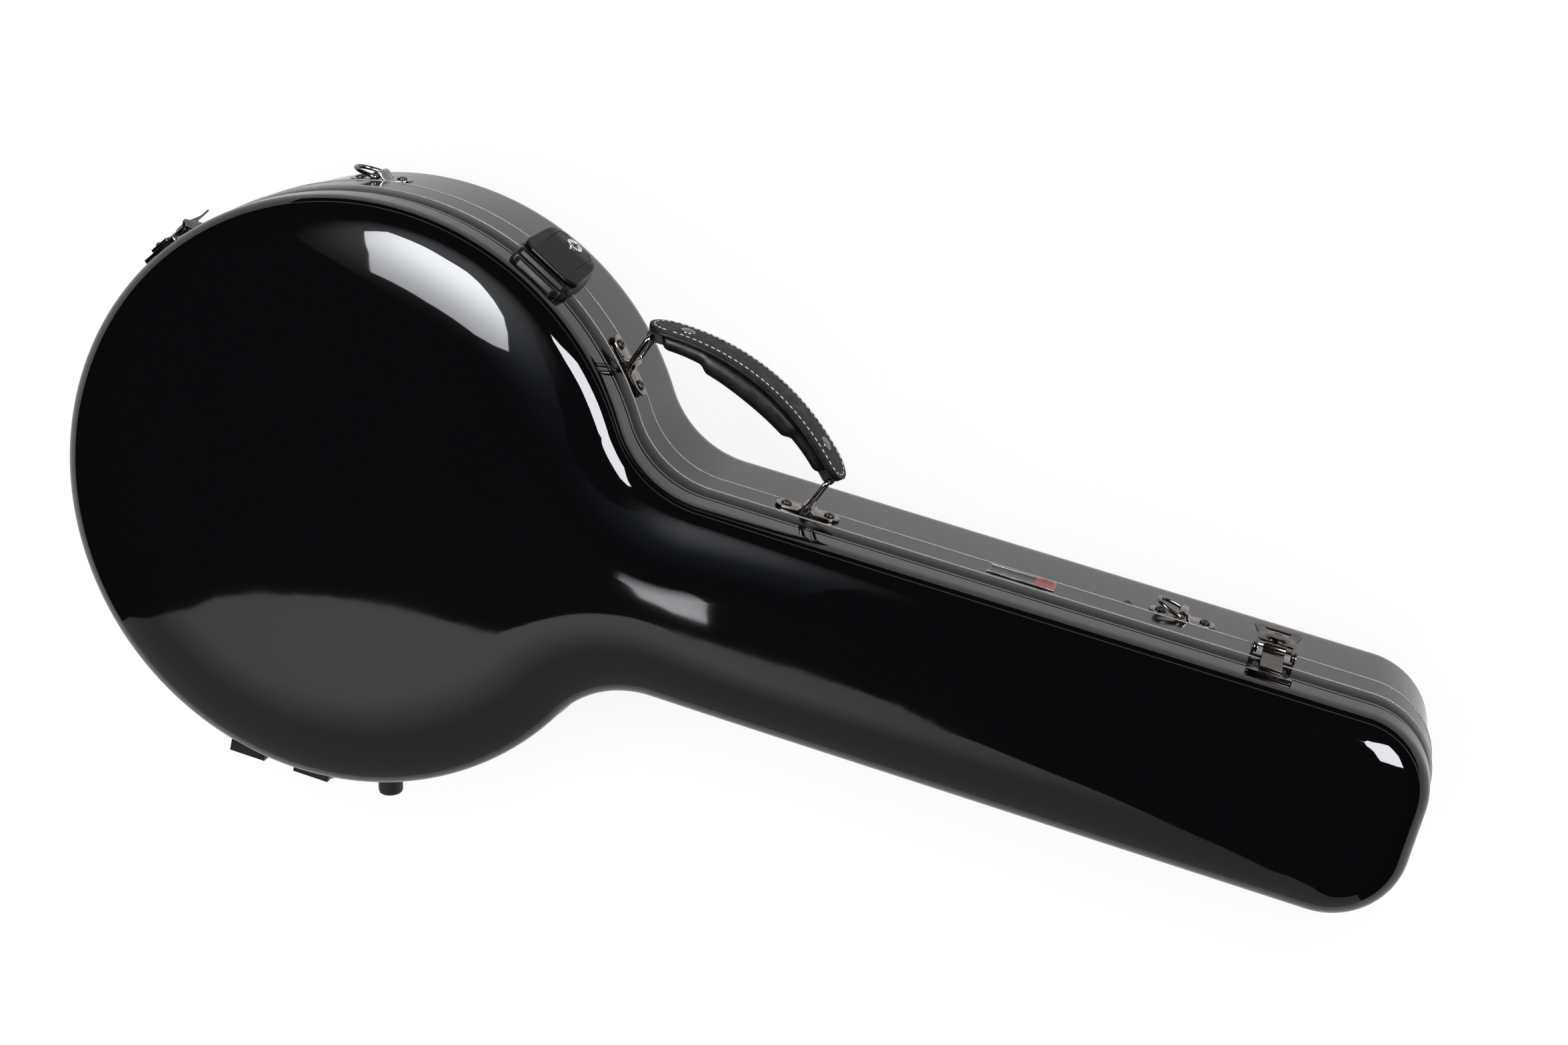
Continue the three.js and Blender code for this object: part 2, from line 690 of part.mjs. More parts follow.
// A pan head screw: its head seats on the plate and its neck ends just off the wall
function panScrew(name, x, z, plateTop, wall) {
  const profile = [
    new THREE.Vector2(0, wall),
    new THREE.Vector2(SCREW_SHANK_RADIUS, wall),
    new THREE.Vector2(SCREW_SHANK_RADIUS, plateTop),
    new THREE.Vector2(SCREW_HEAD_RADIUS, plateTop),
    new THREE.Vector2(SCREW_HEAD_RADIUS, plateTop + SCREW_HEAD_HEIGHT / 2),
    new THREE.Vector2(SCREW_HEAD_RADIUS * SCREW_TOP_SHARE, plateTop + SCREW_HEAD_HEIGHT),
    new THREE.Vector2(0, plateTop + SCREW_HEAD_HEIGHT),
  ];
  return pieceMesh(name, new THREE.LatheGeometry(profile, 12).translate(x, 0, z), 'screw');
}

function platePair(label, seatY, midZ) {
  const place = SCREW_INSET - PLATE_LENGTH / 2;
  const top = seatY + FIT + PLATE_THICKNESS + FIT;
  return [
    saddlePlate(`${label}_plate`, seatY, midZ),
    panScrew(`${label}_screw_1`, place, midZ, top, seatY + FIT),
    panScrew(`${label}_screw_2`, -place, midZ, top, seatY + FIT),
  ];
}

// Strap rings: D-shaped wire, laid back towards the tail and slightly lifted
const RING_WIRE_RADIUS = 1.5;
const RING_SIDE_PLAY = 0.5;
const RING_REACH = 18;
const RING_ROUND_SHARE = 0.8;
const RING_LIFT_DEG = 16;
const RING_DROP = 2;
const RING_BAR = PLATE_WIDTH + 2 * (RING_WIRE_RADIUS + RING_SIDE_PLAY);
const RING_Z = BAND_BASE_Z - PLATE_WIDTH / 2 - RING_DROP;
const POT_RING_DEG = 102.3;
const NECK_RING_X = 546;

function strapRing(name) {
  const half = RING_BAR / 2;
  const points = [];
  for (let i = 0; i <= 2; i += 1) {
    points.push(new THREE.Vector3(0, 0, half * (i - 1) * RING_ROUND_SHARE));
  }
  for (let i = 0; i <= 10; i += 1) {
    const angle = Math.PI * i / 10;
    points.push(new THREE.Vector3(
      -RING_WIRE_RADIUS / 2 - (RING_REACH - RING_WIRE_RADIUS / 2) * Math.sin(angle) ** RING_ROUND_SHARE,
      0,
      half * Math.cos(angle),
    ));
  }
  return pieceMesh(name, wireRing(points, new THREE.Vector3(0, 1, 0), RING_WIRE_RADIUS), 'nickel');
}

function strapFitting(label, place) {
  const pivot = new THREE.Group();
  pivot.position.set(0, BAR_LIFT - BAND_STEP, RING_Z);
  pivot.rotation.z = -THREE.MathUtils.degToRad(RING_LIFT_DEG);
  pivot.add(strapRing(`${label}_ring`));
  place.add(...platePair(label, -BAND_STEP, RING_Z), pivot);
  return place;
}

// Carrying handle: two wire loops, a stitched strap over a padded roll, two rivets
const POT_BRACKET_DEG = 39.6;
const NECK_BRACKET_X = 295;
const LOOP_ANGLE_DEG = 67.4;
const LOOP_LENGTH = 26;
const LOOP_SIDE_PLAY = 3.7;
const LOOP_CORNER = 4;
const STRAP_WIDTH = 30;
const STRAP_THICKNESS = 4.5;
const STRAP_END_ROUND = 13.8;
const STRAP_END_OUT = 3.2;
const STRAP_BOW = 18;
const STRAP_OVERHANG = 5;
const EYE_RADIUS = 4.6;
const EYE_WIDTH = 16;
const ROLL_DEPTH = 18;
const ROLL_WIDTH = 19;
const ROLL_END_GAP = 8;
const ROLL_END_SHARE = 0.62;
const ROLL_COVER_SHARE = 0.24;
const RIVET_TOP_SHARE = 0.75;
const LOOP_WIDTH = PLATE_WIDTH + 2 * (WIRE_RADIUS + LOOP_SIDE_PLAY);
const RIVET_PLACE = 18;
const RIVET_RADIUS = 5;
const RIVET_HEIGHT = 1.6;

const potBar = new THREE.Vector2(POT_RADIUS + BAR_LIFT, 0)
  .rotateAround(new THREE.Vector2(), THREE.MathUtils.degToRad(POT_BRACKET_DEG));
const neckBar = new THREE.Vector2(NECK_BRACKET_X, NECK_HALF_WIDTH + BAR_LIFT);
const chord = neckBar.clone().sub(potBar);
const CHORD_LENGTH = chord.length();
const CHORD_ANGLE = chord.angle() - 2 * Math.PI;

function handleLoop(name) {
  const half = LOOP_WIDTH / 2;
  const corner = LOOP_CORNER;
  const arcs = [
    [corner, half - corner, Math.PI / 2, Math.PI],
    [corner, corner - half, Math.PI, Math.PI * 3 / 2],
    [LOOP_LENGTH - corner, corner - half, Math.PI * 3 / 2, 2 * Math.PI],
    [LOOP_LENGTH - corner, half - corner, 0, Math.PI / 2],
  ];
  const points = arcs.flatMap(([x, z, from, to]) => Array.from({ length: 4 }, (_, i) => {
    const angle = from + (to - from) * i / 3;
    return new THREE.Vector3(x + corner * Math.cos(angle), 0, z + corner * Math.sin(angle));
  }));
  return pieceMesh(name, wireRing(points, new THREE.Vector3(0, 1, 0), WIRE_RADIUS), 'nickel');
}

// Height and slope of the strap's underside over the chord of the bars
function strapUnder(x) {
  const share = 2 * x / CHORD_LENGTH - 1;
  return STRAP_END_OUT + STRAP_BOW * (1 - share ** 2);
}

function strapSlope(x) {
  return Math.atan(4 * STRAP_BOW * (1 - 2 * x / CHORD_LENGTH) / CHORD_LENGTH);
}

function handleStrap() {
  const steps = 18;
  const along = (i) => -STRAP_OVERHANG + (CHORD_LENGTH + 2 * STRAP_OVERHANG) * i / steps;
  const under = Array.from({ length: steps + 1 }, (_, i) => [along(i), strapUnder(along(i))]);
  const over = under.map(([x, y]) => [x, y + STRAP_THICKNESS]).reverse();
  const band = toSolid(alongUp(polygon([...under, ...over]), -STRAP_WIDTH / 2, STRAP_WIDTH / 2));
  const top = STRAP_END_OUT + STRAP_BOW + STRAP_THICKNESS;
  const low = -STRAP_BOW;
  const plan = outOfWall(
    roundedRectangle(
      -STRAP_OVERHANG,
      CHORD_LENGTH + STRAP_OVERHANG,
      -STRAP_WIDTH / 2,
      STRAP_WIDTH / 2,
      STRAP_END_ROUND,
    ),
    low,
    top + CUT_OVERRUN,
  );
  let solid = band.intersect(toSolid(plan));
  [0, CHORD_LENGTH].forEach((x) => {
    const side = x > 0 ? 1 : -1;
    const eye = rodUp(EYE_RADIUS, -EYE_WIDTH / 2, EYE_WIDTH / 2, x, 0, 16);
    const inner = x - side * EYE_RADIUS / 2;
    const web = block(
      Math.min(inner, x + side * EYE_RADIUS),
      Math.max(inner, x + side * EYE_RADIUS),
      0,
      strapUnder(x - side * STRAP_OVERHANG) - FIT,
      -EYE_WIDTH / 2,
      EYE_WIDTH / 2,
    );
    solid = solid.add(union(eye, web));
  });
  [0, CHORD_LENGTH].forEach((x) => {
    solid = cut(solid, rodUp(WIRE_RADIUS + RUNNING_FIT, -STRAP_WIDTH, STRAP_WIDTH, x, 0, 12));
  });
  return pieceMesh('handle_strap', toGeometry(solid), 'leather');
}

function handleRoll() {
  const steps = 14;
  const sides = 12;
  const start = ROLL_END_GAP;
  const length = CHORD_LENGTH - 2 * ROLL_END_GAP;
  const rings = [];
  for (let i = 0; i <= steps; i += 1) {
    const share = i / steps;
    const covered = share > ROLL_COVER_SHARE && share < 1 - ROLL_COVER_SHARE;
    const middleShare = Math.sin(Math.PI * share);
    const swell = ROLL_END_SHARE + (1 - ROLL_END_SHARE) * (covered ? 1 : middleShare ** 2);
    const depth = ROLL_DEPTH / 2 * swell;
    const width = ROLL_WIDTH / 2 * swell;
    const x = start + length * share;
    const tilt = strapSlope(x);
    const drop = depth + FIT;
    const middle = new THREE.Vector3(x + drop * Math.sin(tilt), strapUnder(x) - drop * Math.cos(tilt), 0);
    rings.push(Array.from({ length: sides }, (_, k) => {
      const angle = 2 * Math.PI * k / sides;
      const out = depth * Math.cos(angle);
      return new THREE.Vector3(
        middle.x - out * Math.sin(tilt),
        middle.y + out * Math.cos(tilt),
        width * Math.sin(angle),
      );
    }));
  }
  return pieceMesh('handle_roll', skin(rings), 'leather');
}

function handleRivet(name, x) {
  const seat = FIT;
  const profile = [
    new THREE.Vector2(0, seat),
    new THREE.Vector2(RIVET_RADIUS, seat),
    new THREE.Vector2(RIVET_RADIUS * RIVET_TOP_SHARE, seat + RIVET_HEIGHT * RIVET_TOP_SHARE),
    new THREE.Vector2(0, seat + RIVET_HEIGHT),
  ];
  const rivet = new THREE.LatheGeometry(profile, 16).rotateZ(strapSlope(x));
  rivet.translate(x, strapUnder(x) + STRAP_THICKNESS, 0);
  return pieceMesh(name, rivet, 'nickel');
}

function carryingHandle() {
  const angle = THREE.MathUtils.degToRad(LOOP_ANGLE_DEG);
  const handle = new THREE.Group();
  [['handle_loop_pot', potBar], ['handle_loop_neck', neckBar]].forEach(([name, bar]) => {
    const place = new THREE.Group();
    place.position.set(bar.x, bar.y, STRIP_MID_Z);
    place.rotation.z = angle;
    place.add(handleLoop(name));
    handle.add(place);
  });
  const grip = new THREE.Group();
  grip.position.set(
    potBar.x + LOOP_LENGTH * Math.cos(angle),
    potBar.y + LOOP_LENGTH * Math.sin(angle),
    STRIP_MID_Z,
  );
  grip.rotation.z = CHORD_ANGLE;
  grip.add(
    handleStrap(),
    handleRoll(),
    handleRivet('handle_rivet_pot', RIVET_PLACE),
    handleRivet('handle_rivet_neck', CHORD_LENGTH - RIVET_PLACE),
  );
  const brackets = [onPot(POT_BRACKET_DEG), onNeck(NECK_BRACKET_X)];
  brackets[0].add(...platePair('handle_pot', 0, STRIP_MID_Z));
  brackets[1].add(...platePair('handle_neck', 0, STRIP_MID_Z));
  handle.add(...brackets, grip);
  return handle;
}

// Draw latches: base with two ears, flared lever with a boss, draw link and catch
const POT_LATCH_DEG = 142;
const NECK_LATCH_X = 606.5;
const LATCH_HALF = 12.5;
const LATCH_SHEET = 1.4;
const LATCH_PIVOT_Y = 7;
const LATCH_PIVOT_RISE = 2;
const LATCH_STUD_RADIUS = 1.3;
const EAR_REACH = 4;
const EAR_SLOPE_SHARE = 0.6;
const LEVER_LENGTH = 34;
const LEVER_FLARE = 3.4;
const LEVER_TIP_LIFT = 2.4;
const LEVER_BEND_SHARE = 0.25;
const LEVER_SPREAD_SHARE = 0.33;
const LEVER_WINDOW = 11.6;
const LEVER_SLOT_LENGTH = 17;
const LEVER_SLOT_WIDTH = 2.2;
const LEVER_SLOT_PLACE = 3.9;
const BOSS_RADIUS = 8.2;
const BOSS_HEIGHT = 3.4;
const BOSS_PLACE = 20.4;
const BOSS_SHARES = [[0, 0], [1, 0], [1, 0.4], [0.86, 0.8], [0.42, 1], [0.2, 0.75], [0, 0.7]];
const DRAW_OFFSET = 8;
const LINK_HALF = 7;
const LINK_NOSE_DEPTH = 1.2;
const LINK_EYE_RADIUS = 2.9;
const CATCH_HALF = 14.5;
const CATCH_HEIGHT = 9.5;
const CATCH_LIP = 1.3;
const CATCH_RAIL = 3;
const CATCH_NARROW_SHARE = 0.78;
const CATCH_SHOULDER_SHARE = 0.4;
const LATCH_PIVOT_Z = STRIP_TOP_Z + LATCH_PIVOT_RISE;
const LATCH_FOOT_Z = BAND_BASE_Z + LINE_HEIGHT + FIT;
const LATCH_HEAD_Z = STRIP_TOP_Z - FIT;
const CATCH_Z = LID_BASE_Z + LATCH_SHEET;
const CATCH_SEAT_Y = FIT - LID_STEP;
const CATCH_TOP_Y = CATCH_SEAT_Y + LATCH_SHEET + CATCH_LIP;
const LINK_Y = CATCH_TOP_Y + FIT + LINK_NOSE_DEPTH;
const LINK_END_Z = CATCH_Z + CATCH_HEIGHT - CATCH_RAIL - RUNNING_FIT;

function latchBase(name) {
  const ear = (side) => {
    const shape = new THREE.Shape();
    shape.moveTo(FIT, LATCH_FOOT_Z);
    shape.lineTo(LATCH_PIVOT_Y, LATCH_FOOT_Z + (LATCH_HEAD_Z - LATCH_FOOT_Z) * EAR_SLOPE_SHARE);
    shape.lineTo(LATCH_PIVOT_Y + EAR_REACH, LATCH_PIVOT_Z);
    shape.absarc(LATCH_PIVOT_Y, LATCH_PIVOT_Z, EAR_REACH, 0, Math.PI * 3 / 4, false);
    shape.lineTo(FIT + LATCH_SHEET, LATCH_HEAD_Z + FIT);
    shape.lineTo(FIT, LATCH_HEAD_Z);
    const from = side * LATCH_HALF;
    const to = side * (LATCH_HALF + LATCH_SHEET);
    return alongWall(shape, Math.min(from, to), Math.max(from, to));
  };
  const plate = block(
    -LATCH_HALF - LATCH_SHEET,
    LATCH_HALF + LATCH_SHEET,
    FIT,
    FIT + LATCH_SHEET,
    LATCH_FOOT_Z,
    LATCH_HEAD_Z,
  );
  const studEnd = LATCH_HALF + LATCH_SHEET / 2;
  const studStart = LATCH_HALF - FIT - LATCH_SHEET;
  const studs = [-1, 1].map((side) => rodAlongWall(
    LATCH_STUD_RADIUS,
    Math.min(side * studStart, side * studEnd),
    Math.max(side * studStart, side * studEnd),
    LATCH_PIVOT_Y,
    LATCH_PIVOT_Z,
    8,
  ));
  return pieceMesh(name, toGeometry(union(plate, ear(-1), ear(1), ...studs)), 'nickel');
}

// The lever lies against the rear shell; its plate stops short of the link so that the link swings free
function latchLever(name) {
  const outer = LATCH_HALF - FIT;
  const inner = outer - LATCH_SHEET;
  const plateY = LATCH_PIVOT_Y + LINK_EYE_RADIUS - LATCH_SHEET;
  const plateTop = LATCH_PIVOT_Z - LEVER_WINDOW;
  const tipZ = LATCH_PIVOT_Z - LEVER_LENGTH;
  const profile = polygon([
    [plateY, plateTop],
    [plateY + LEVER_TIP_LIFT * LEVER_BEND_SHARE, tipZ + LEVER_LENGTH * LEVER_BEND_SHARE],
    [plateY + LEVER_TIP_LIFT, tipZ],
    [plateY + LEVER_TIP_LIFT + LATCH_SHEET, tipZ],
    [plateY + LEVER_TIP_LIFT * LEVER_BEND_SHARE + LATCH_SHEET, tipZ + LEVER_LENGTH * LEVER_BEND_SHARE],
    [plateY + LATCH_SHEET, plateTop],
  ]);
  const wide = outer + LEVER_FLARE;
  const plan = polygon([
    [-outer, plateTop],
    [-outer, tipZ + LEVER_LENGTH * LEVER_SPREAD_SHARE],
    [-wide, tipZ + LEVER_FLARE / 2],
    [-wide + LEVER_FLARE / 2, tipZ],
    [wide - LEVER_FLARE / 2, tipZ],
    [wide, tipZ + LEVER_FLARE / 2],
    [outer, tipZ + LEVER_LENGTH * LEVER_SPREAD_SHARE],
    [outer, plateTop],
  ]);
  const reach = LATCH_PIVOT_Y + LEVER_LENGTH;
  const plate = toSolid(alongWall(profile, -wide, wide)).intersect(toSolid(outOfWall(plan, 0, reach)));
  const cheek = (side) => {
    const shape = new THREE.Shape();
    shape.moveTo(plateY + LATCH_SHEET / 2, plateTop - LEVER_WINDOW);
    shape.lineTo(plateY + LATCH_SHEET, LATCH_PIVOT_Z);
    shape.absarc(LATCH_PIVOT_Y, LATCH_PIVOT_Z, LINK_EYE_RADIUS, 0, Math.PI, false);
    shape.lineTo(LATCH_PIVOT_Y - LINK_EYE_RADIUS, LATCH_PIVOT_Z - DRAW_OFFSET);
    return alongWall(shape, Math.min(side * inner, side * outer), Math.max(side * inner, side * outer));
  };
  const bossProfile = BOSS_SHARES.map(([r, h]) => new THREE.Vector2(BOSS_RADIUS * r, BOSS_HEIGHT * h));
  const boss = new THREE.LatheGeometry(bossProfile, 16)
    .translate(0, plateY + LATCH_SHEET / 2, LATCH_PIVOT_Z - BOSS_PLACE);
  const drawPin = rodAlongWall(LATCH_STUD_RADIUS, -outer + LATCH_SHEET / 2, outer - LATCH_SHEET / 2,
    LATCH_PIVOT_Y, LATCH_PIVOT_Z - DRAW_OFFSET, 8);
  const slot = outOfWall(stadium(LEVER_SLOT_LENGTH, LEVER_SLOT_WIDTH), 0, reach)
    .translate(0, 0, tipZ + LEVER_SLOT_PLACE);
  const bore = LATCH_STUD_RADIUS + FIT;
  const bores = rodAlongWall(bore, -LATCH_HALF, LATCH_HALF, LATCH_PIVOT_Y, LATCH_PIVOT_Z, 12);
  const body = plate.add(union(cheek(-1), cheek(1), boss, drawPin));
  return pieceMesh(name, toGeometry(cut(body, slot, bores)), 'nickel');
}

function latchLink(name) {
  const eyeZ = LATCH_PIVOT_Z - DRAW_OFFSET;
  const end = LINK_END_Z;
  const profile = polygon([
    [LINK_Y, eyeZ],
    [LINK_Y, end - LATCH_SHEET],
    [LINK_Y - LINK_NOSE_DEPTH, end - LATCH_SHEET],
    [LINK_Y - LINK_NOSE_DEPTH, end],
    [LINK_Y + LATCH_SHEET, end],
    [LINK_Y + LATCH_SHEET, eyeZ],
  ]);
  const half = LINK_HALF;
  const eye = rodAlongWall(LINK_EYE_RADIUS, -half, half, LATCH_PIVOT_Y, eyeZ, 14);
  const neck = block(-half, half, LINK_Y, LATCH_PIVOT_Y, eyeZ - LATCH_SHEET, eyeZ + LATCH_SHEET);
  const bore = rodAlongWall(LATCH_STUD_RADIUS + FIT, -LATCH_HALF, LATCH_HALF, LATCH_PIVOT_Y, eyeZ, 12);
  const body = union(alongWall(profile, -half, half), eye, neck);
  return pieceMesh(name, toGeometry(cut(body, bore)), 'nickel');
}

function latchCatch(name) {
  const low = CATCH_Z;
  const high = low + CATCH_HEIGHT;
  const seat = CATCH_SEAT_Y;
  const narrow = CATCH_HALF * CATCH_NARROW_SHARE;
  const shoulder = low + CATCH_HEIGHT * CATCH_SHOULDER_SHARE;
  const plate = outOfWall(polygon([
    [-narrow, low],
    [narrow, low],
    [CATCH_HALF, shoulder],
    [CATCH_HALF, high - LATCH_SHEET],
    [CATCH_HALF - LATCH_SHEET, high],
    [LATCH_SHEET - CATCH_HALF, high],
    [-CATCH_HALF, high - LATCH_SHEET],
    [-CATCH_HALF, shoulder],
  ]), seat, seat + LATCH_SHEET);
  const lip = block(-LINK_HALF, LINK_HALF, seat, CATCH_TOP_Y, low, low + LATCH_SHEET);
  const rail = outOfWall(stadium(2 * CATCH_HALF, CATCH_RAIL), seat, CATCH_TOP_Y)
    .translate(0, 0, high - CATCH_RAIL / 2);
  return pieceMesh(name, toGeometry(union(plate, lip, rail)), 'nickel');
}

function drawLatch(label, place) {
  place.add(
    latchBase(`${label}_latch_base`),
    latchLever(`${label}_latch_lever`),
    latchLink(`${label}_latch_link`),
    latchCatch(`${label}_latch_catch`),
  );
  return place;
}

// Lock: a moulded base, a hinged cap with a key cylinder, and a keeper on the lid
const LOCK_DEG = 62.3;
const LOCK_HALF = 25;
const LOCK_CHAMFER = 11;
const LOCK_BASE_HEIGHT = 5;
const LOCK_CAP_HEIGHT = 11;
const LOCK_CAP_EASE = 2.75;
const LOCK_PIVOT_DROP = 4;
const LOCK_NOSE_RADIUS = 5;
const LOCK_WALL = 2.4;
const LOCK_BACK = 6;
const LOCK_SILL_HEIGHT = 4.4;
const LOCK_SILL_ROUND = 1.2;
const LOCK_PIN_RADIUS = 1.4;
const LOCK_PANEL_DEPTH = 0.8;
const LOCK_PANEL_HALF = 17;
const LOCK_PANEL_LENGTH = 24;
const KEY_RADIUS = 6;
const KEY_HEIGHT = 3;
const KEY_SLOT = 1.6;
const KEY_PLACE = 9.5;
const KEEPER_HEIGHT = 9;
const KEEPER_PROUD = 3;
const LOCK_REAR_Z = BAND_BASE_Z + FIT;
const LOCK_PIVOT_Z = BAND_TOP_Z - LOCK_PIVOT_DROP;
const LOCK_CURVE_ROOM = POT_RADIUS - Math.sqrt(POT_RADIUS ** 2 - LOCK_HALF ** 2) + FIT;
const LOCK_PIVOT_Y = LOCK_CURVE_ROOM + LOCK_BASE_HEIGHT + LOCK_NOSE_RADIUS + RUNNING_FIT;
const LOCK_TOP_Y = LOCK_PIVOT_Y - LOCK_NOSE_RADIUS + LOCK_CAP_HEIGHT;
const LOCK_SILL_Y = LOCK_CURVE_ROOM + LOCK_BASE_HEIGHT - FIT;

function lockPlan(half, low, high, chamfer) {
  return polygon([
    [-half + chamfer, low],
    [half - chamfer, low],
    [half, low + chamfer],
    [half, high],
    [-half, high],
    [-half, low + chamfer],
  ]);
}

// The wall behind the lock is round, so its base is cut back to the band's own outline
function bandCore(extra, low, high) {
  return loft([[-extra, low], [-extra, high]]);
}

function lockBase(place) {
  const back = -LOCK_BACK;
  const top = LOCK_CURVE_ROOM + LOCK_BASE_HEIGHT;
  const high = BAND_TOP_Z - FIT;
  const plan = outOfWall(lockPlan(LOCK_HALF, LOCK_REAR_Z, high, LOCK_CHAMFER), back, top);
  const ear = (side) => {
    const outer = side * (LOCK_HALF - LOCK_WALL - RUNNING_FIT);
    const inner = outer - side * LOCK_WALL;
    const shape = new THREE.Shape();
    shape.moveTo(top - LOCK_WALL / 2, LOCK_PIVOT_Z - LOCK_PIN_RADIUS * 2);
    shape.lineTo(LOCK_PIVOT_Y, LOCK_PIVOT_Z - LOCK_PIN_RADIUS * 2);
    shape.absarc(LOCK_PIVOT_Y, LOCK_PIVOT_Z, LOCK_PIN_RADIUS * 2, -Math.PI / 2, Math.PI / 2, false);
    shape.lineTo(top - LOCK_WALL / 2, LOCK_PIVOT_Z + LOCK_PIN_RADIUS * 2);
    return alongWall(shape, Math.min(inner, outer), Math.max(inner, outer));
  };
  const studs = [-1, 1].map((side) => {
    const start = side * (LOCK_HALF - 2 * LOCK_WALL);
    const end = side * (LOCK_HALF - LOCK_WALL / 2);
    return rodAlongWall(LOCK_PIN_RADIUS, Math.min(start, end), Math.max(start, end), LOCK_PIVOT_Y, LOCK_PIVOT_Z);
  });
  const local = union(plan, ear(-1), ear(1), ...studs);
  place.updateMatrixWorld(true);
  const toLocal = place.matrixWorld.clone().invert();
  const core = bandCore(LINE_PROUD + FIT, BAND_BASE_Z - CUT_OVERRUN, BAND_TOP_Z + CUT_OVERRUN)
    .applyMatrix4(toLocal);
  return pieceMesh('lock_base', toGeometry(cut(local, core)), 'plastic');
}

function lockCap() {
  const low = LOCK_PIVOT_Y - LOCK_NOSE_RADIUS;
  const shape = new THREE.Shape();
  shape.moveTo(low, LOCK_REAR_Z);
  shape.lineTo(LOCK_TOP_Y - LOCK_CAP_EASE, LOCK_REAR_Z);
  shape.lineTo(LOCK_TOP_Y, LOCK_REAR_Z + LOCK_CAP_EASE);
  shape.lineTo(LOCK_TOP_Y, LOCK_PIVOT_Z - LOCK_NOSE_RADIUS);
  shape.lineTo(LOCK_PIVOT_Y, LOCK_PIVOT_Z + LOCK_NOSE_RADIUS);
  shape.absarc(LOCK_PIVOT_Y, LOCK_PIVOT_Z, LOCK_NOSE_RADIUS, Math.PI / 2, Math.PI, false);
  const high = LOCK_PIVOT_Z + LOCK_NOSE_RADIUS;
  const plan = outOfWall(lockPlan(LOCK_HALF, LOCK_REAR_Z, high + CUT_OVERRUN, LOCK_CHAMFER), 0, LOCK_TOP_Y);
  const body = toSolid(alongWall(shape, -LOCK_HALF, LOCK_HALF)).intersect(toSolid(plan));
  const hollow = block(
    LOCK_WALL - LOCK_HALF,
    LOCK_HALF - LOCK_WALL,
    low - CUT_OVERRUN,
    LOCK_TOP_Y - LOCK_WALL,
    LOCK_PIVOT_Z - LOCK_PIN_RADIUS * 2 - LOCK_WALL,
    high + CUT_OVERRUN,
  );
  const bores = rodAlongWall(
    LOCK_PIN_RADIUS + FIT,
    -LOCK_HALF - CUT_OVERRUN,
    LOCK_HALF + CUT_OVERRUN,
    LOCK_PIVOT_Y,
    LOCK_PIVOT_Z,
  );
  const panel = lockPlan(LOCK_PANEL_HALF, LOCK_REAR_Z + LOCK_WALL, LOCK_REAR_Z + LOCK_PANEL_LENGTH, LOCK_CHAMFER / 2);
  const recess = outOfWall(panel, LOCK_TOP_Y - LOCK_PANEL_DEPTH, LOCK_TOP_Y + CUT_OVERRUN);
  const keyHole = rodOutOfWall(
    KEY_RADIUS + FIT,
    LOCK_TOP_Y - LOCK_PANEL_DEPTH - KEY_HEIGHT,
    LOCK_TOP_Y + CUT_OVERRUN,
    0,
    LOCK_REAR_Z + KEY_PLACE,
    20,
  );
  return pieceMesh('lock_cap', toGeometry(cut(body, hollow, bores, recess, keyHole)), 'plastic');
}

function lockKey() {
  const low = LOCK_TOP_Y - LOCK_PANEL_DEPTH - KEY_HEIGHT + FIT;
  const top = LOCK_TOP_Y + LOCK_PANEL_DEPTH;
  const z = LOCK_REAR_Z + KEY_PLACE;
  const barrel = union(rodOutOfWall(KEY_RADIUS, low, top, 0, z, 20));
  const slot = block(
    -KEY_SLOT / 2,
    KEY_SLOT / 2,
    top - KEY_HEIGHT / 2,
    top + CUT_OVERRUN,
    z - KEY_RADIUS / 2,
    z + KEY_RADIUS / 2,
  );
  return pieceMesh('lock_key_cylinder', toGeometry(cut(barrel, slot)), 'silver');
}

function lockKeeper(place) {
  const low = LID_BASE_Z + FIT;
  const high = low + KEEPER_HEIGHT;
  const half = LOCK_HALF - LOCK_CHAMFER / 2;
  const shape = polygon([
    [-half, low],
    [half, low],
    [half - LOCK_CHAMFER / 2, high],
    [-half + LOCK_CHAMFER / 2, high],
  ]);
  const sillHalf = half - LOCK_CHAMFER / 2;
  const sill = polygon([
    [-LOCK_BACK, low],
    [LOCK_SILL_Y - LOCK_SILL_ROUND, low],
    [LOCK_SILL_Y, low + LOCK_SILL_ROUND],
    [LOCK_SILL_Y, low + LOCK_SILL_HEIGHT - LOCK_SILL_ROUND],
    [LOCK_SILL_Y - LOCK_SILL_ROUND, low + LOCK_SILL_HEIGHT],
    [-LOCK_BACK, low + LOCK_SILL_HEIGHT],
  ]);
  const plate = union(outOfWall(shape, -LOCK_BACK, KEEPER_PROUD), alongWall(sill, -sillHalf, sillHalf));
  place.updateMatrixWorld(true);
  const toLocal = place.matrixWorld.clone().invert();
  const core = bandCore(FIT - LID_STEP, LID_BASE_Z - CUT_OVERRUN, LID_EDGE_Z).applyMatrix4(toLocal);
  return pieceMesh('lock_keeper', toGeometry(cut(plate, core)), 'plastic');
}

function keyLock() {
  const place = onPot(LOCK_DEG);
  place.add(lockBase(place), lockCap(), lockKey(), lockKeeper(place));
  return place;
}

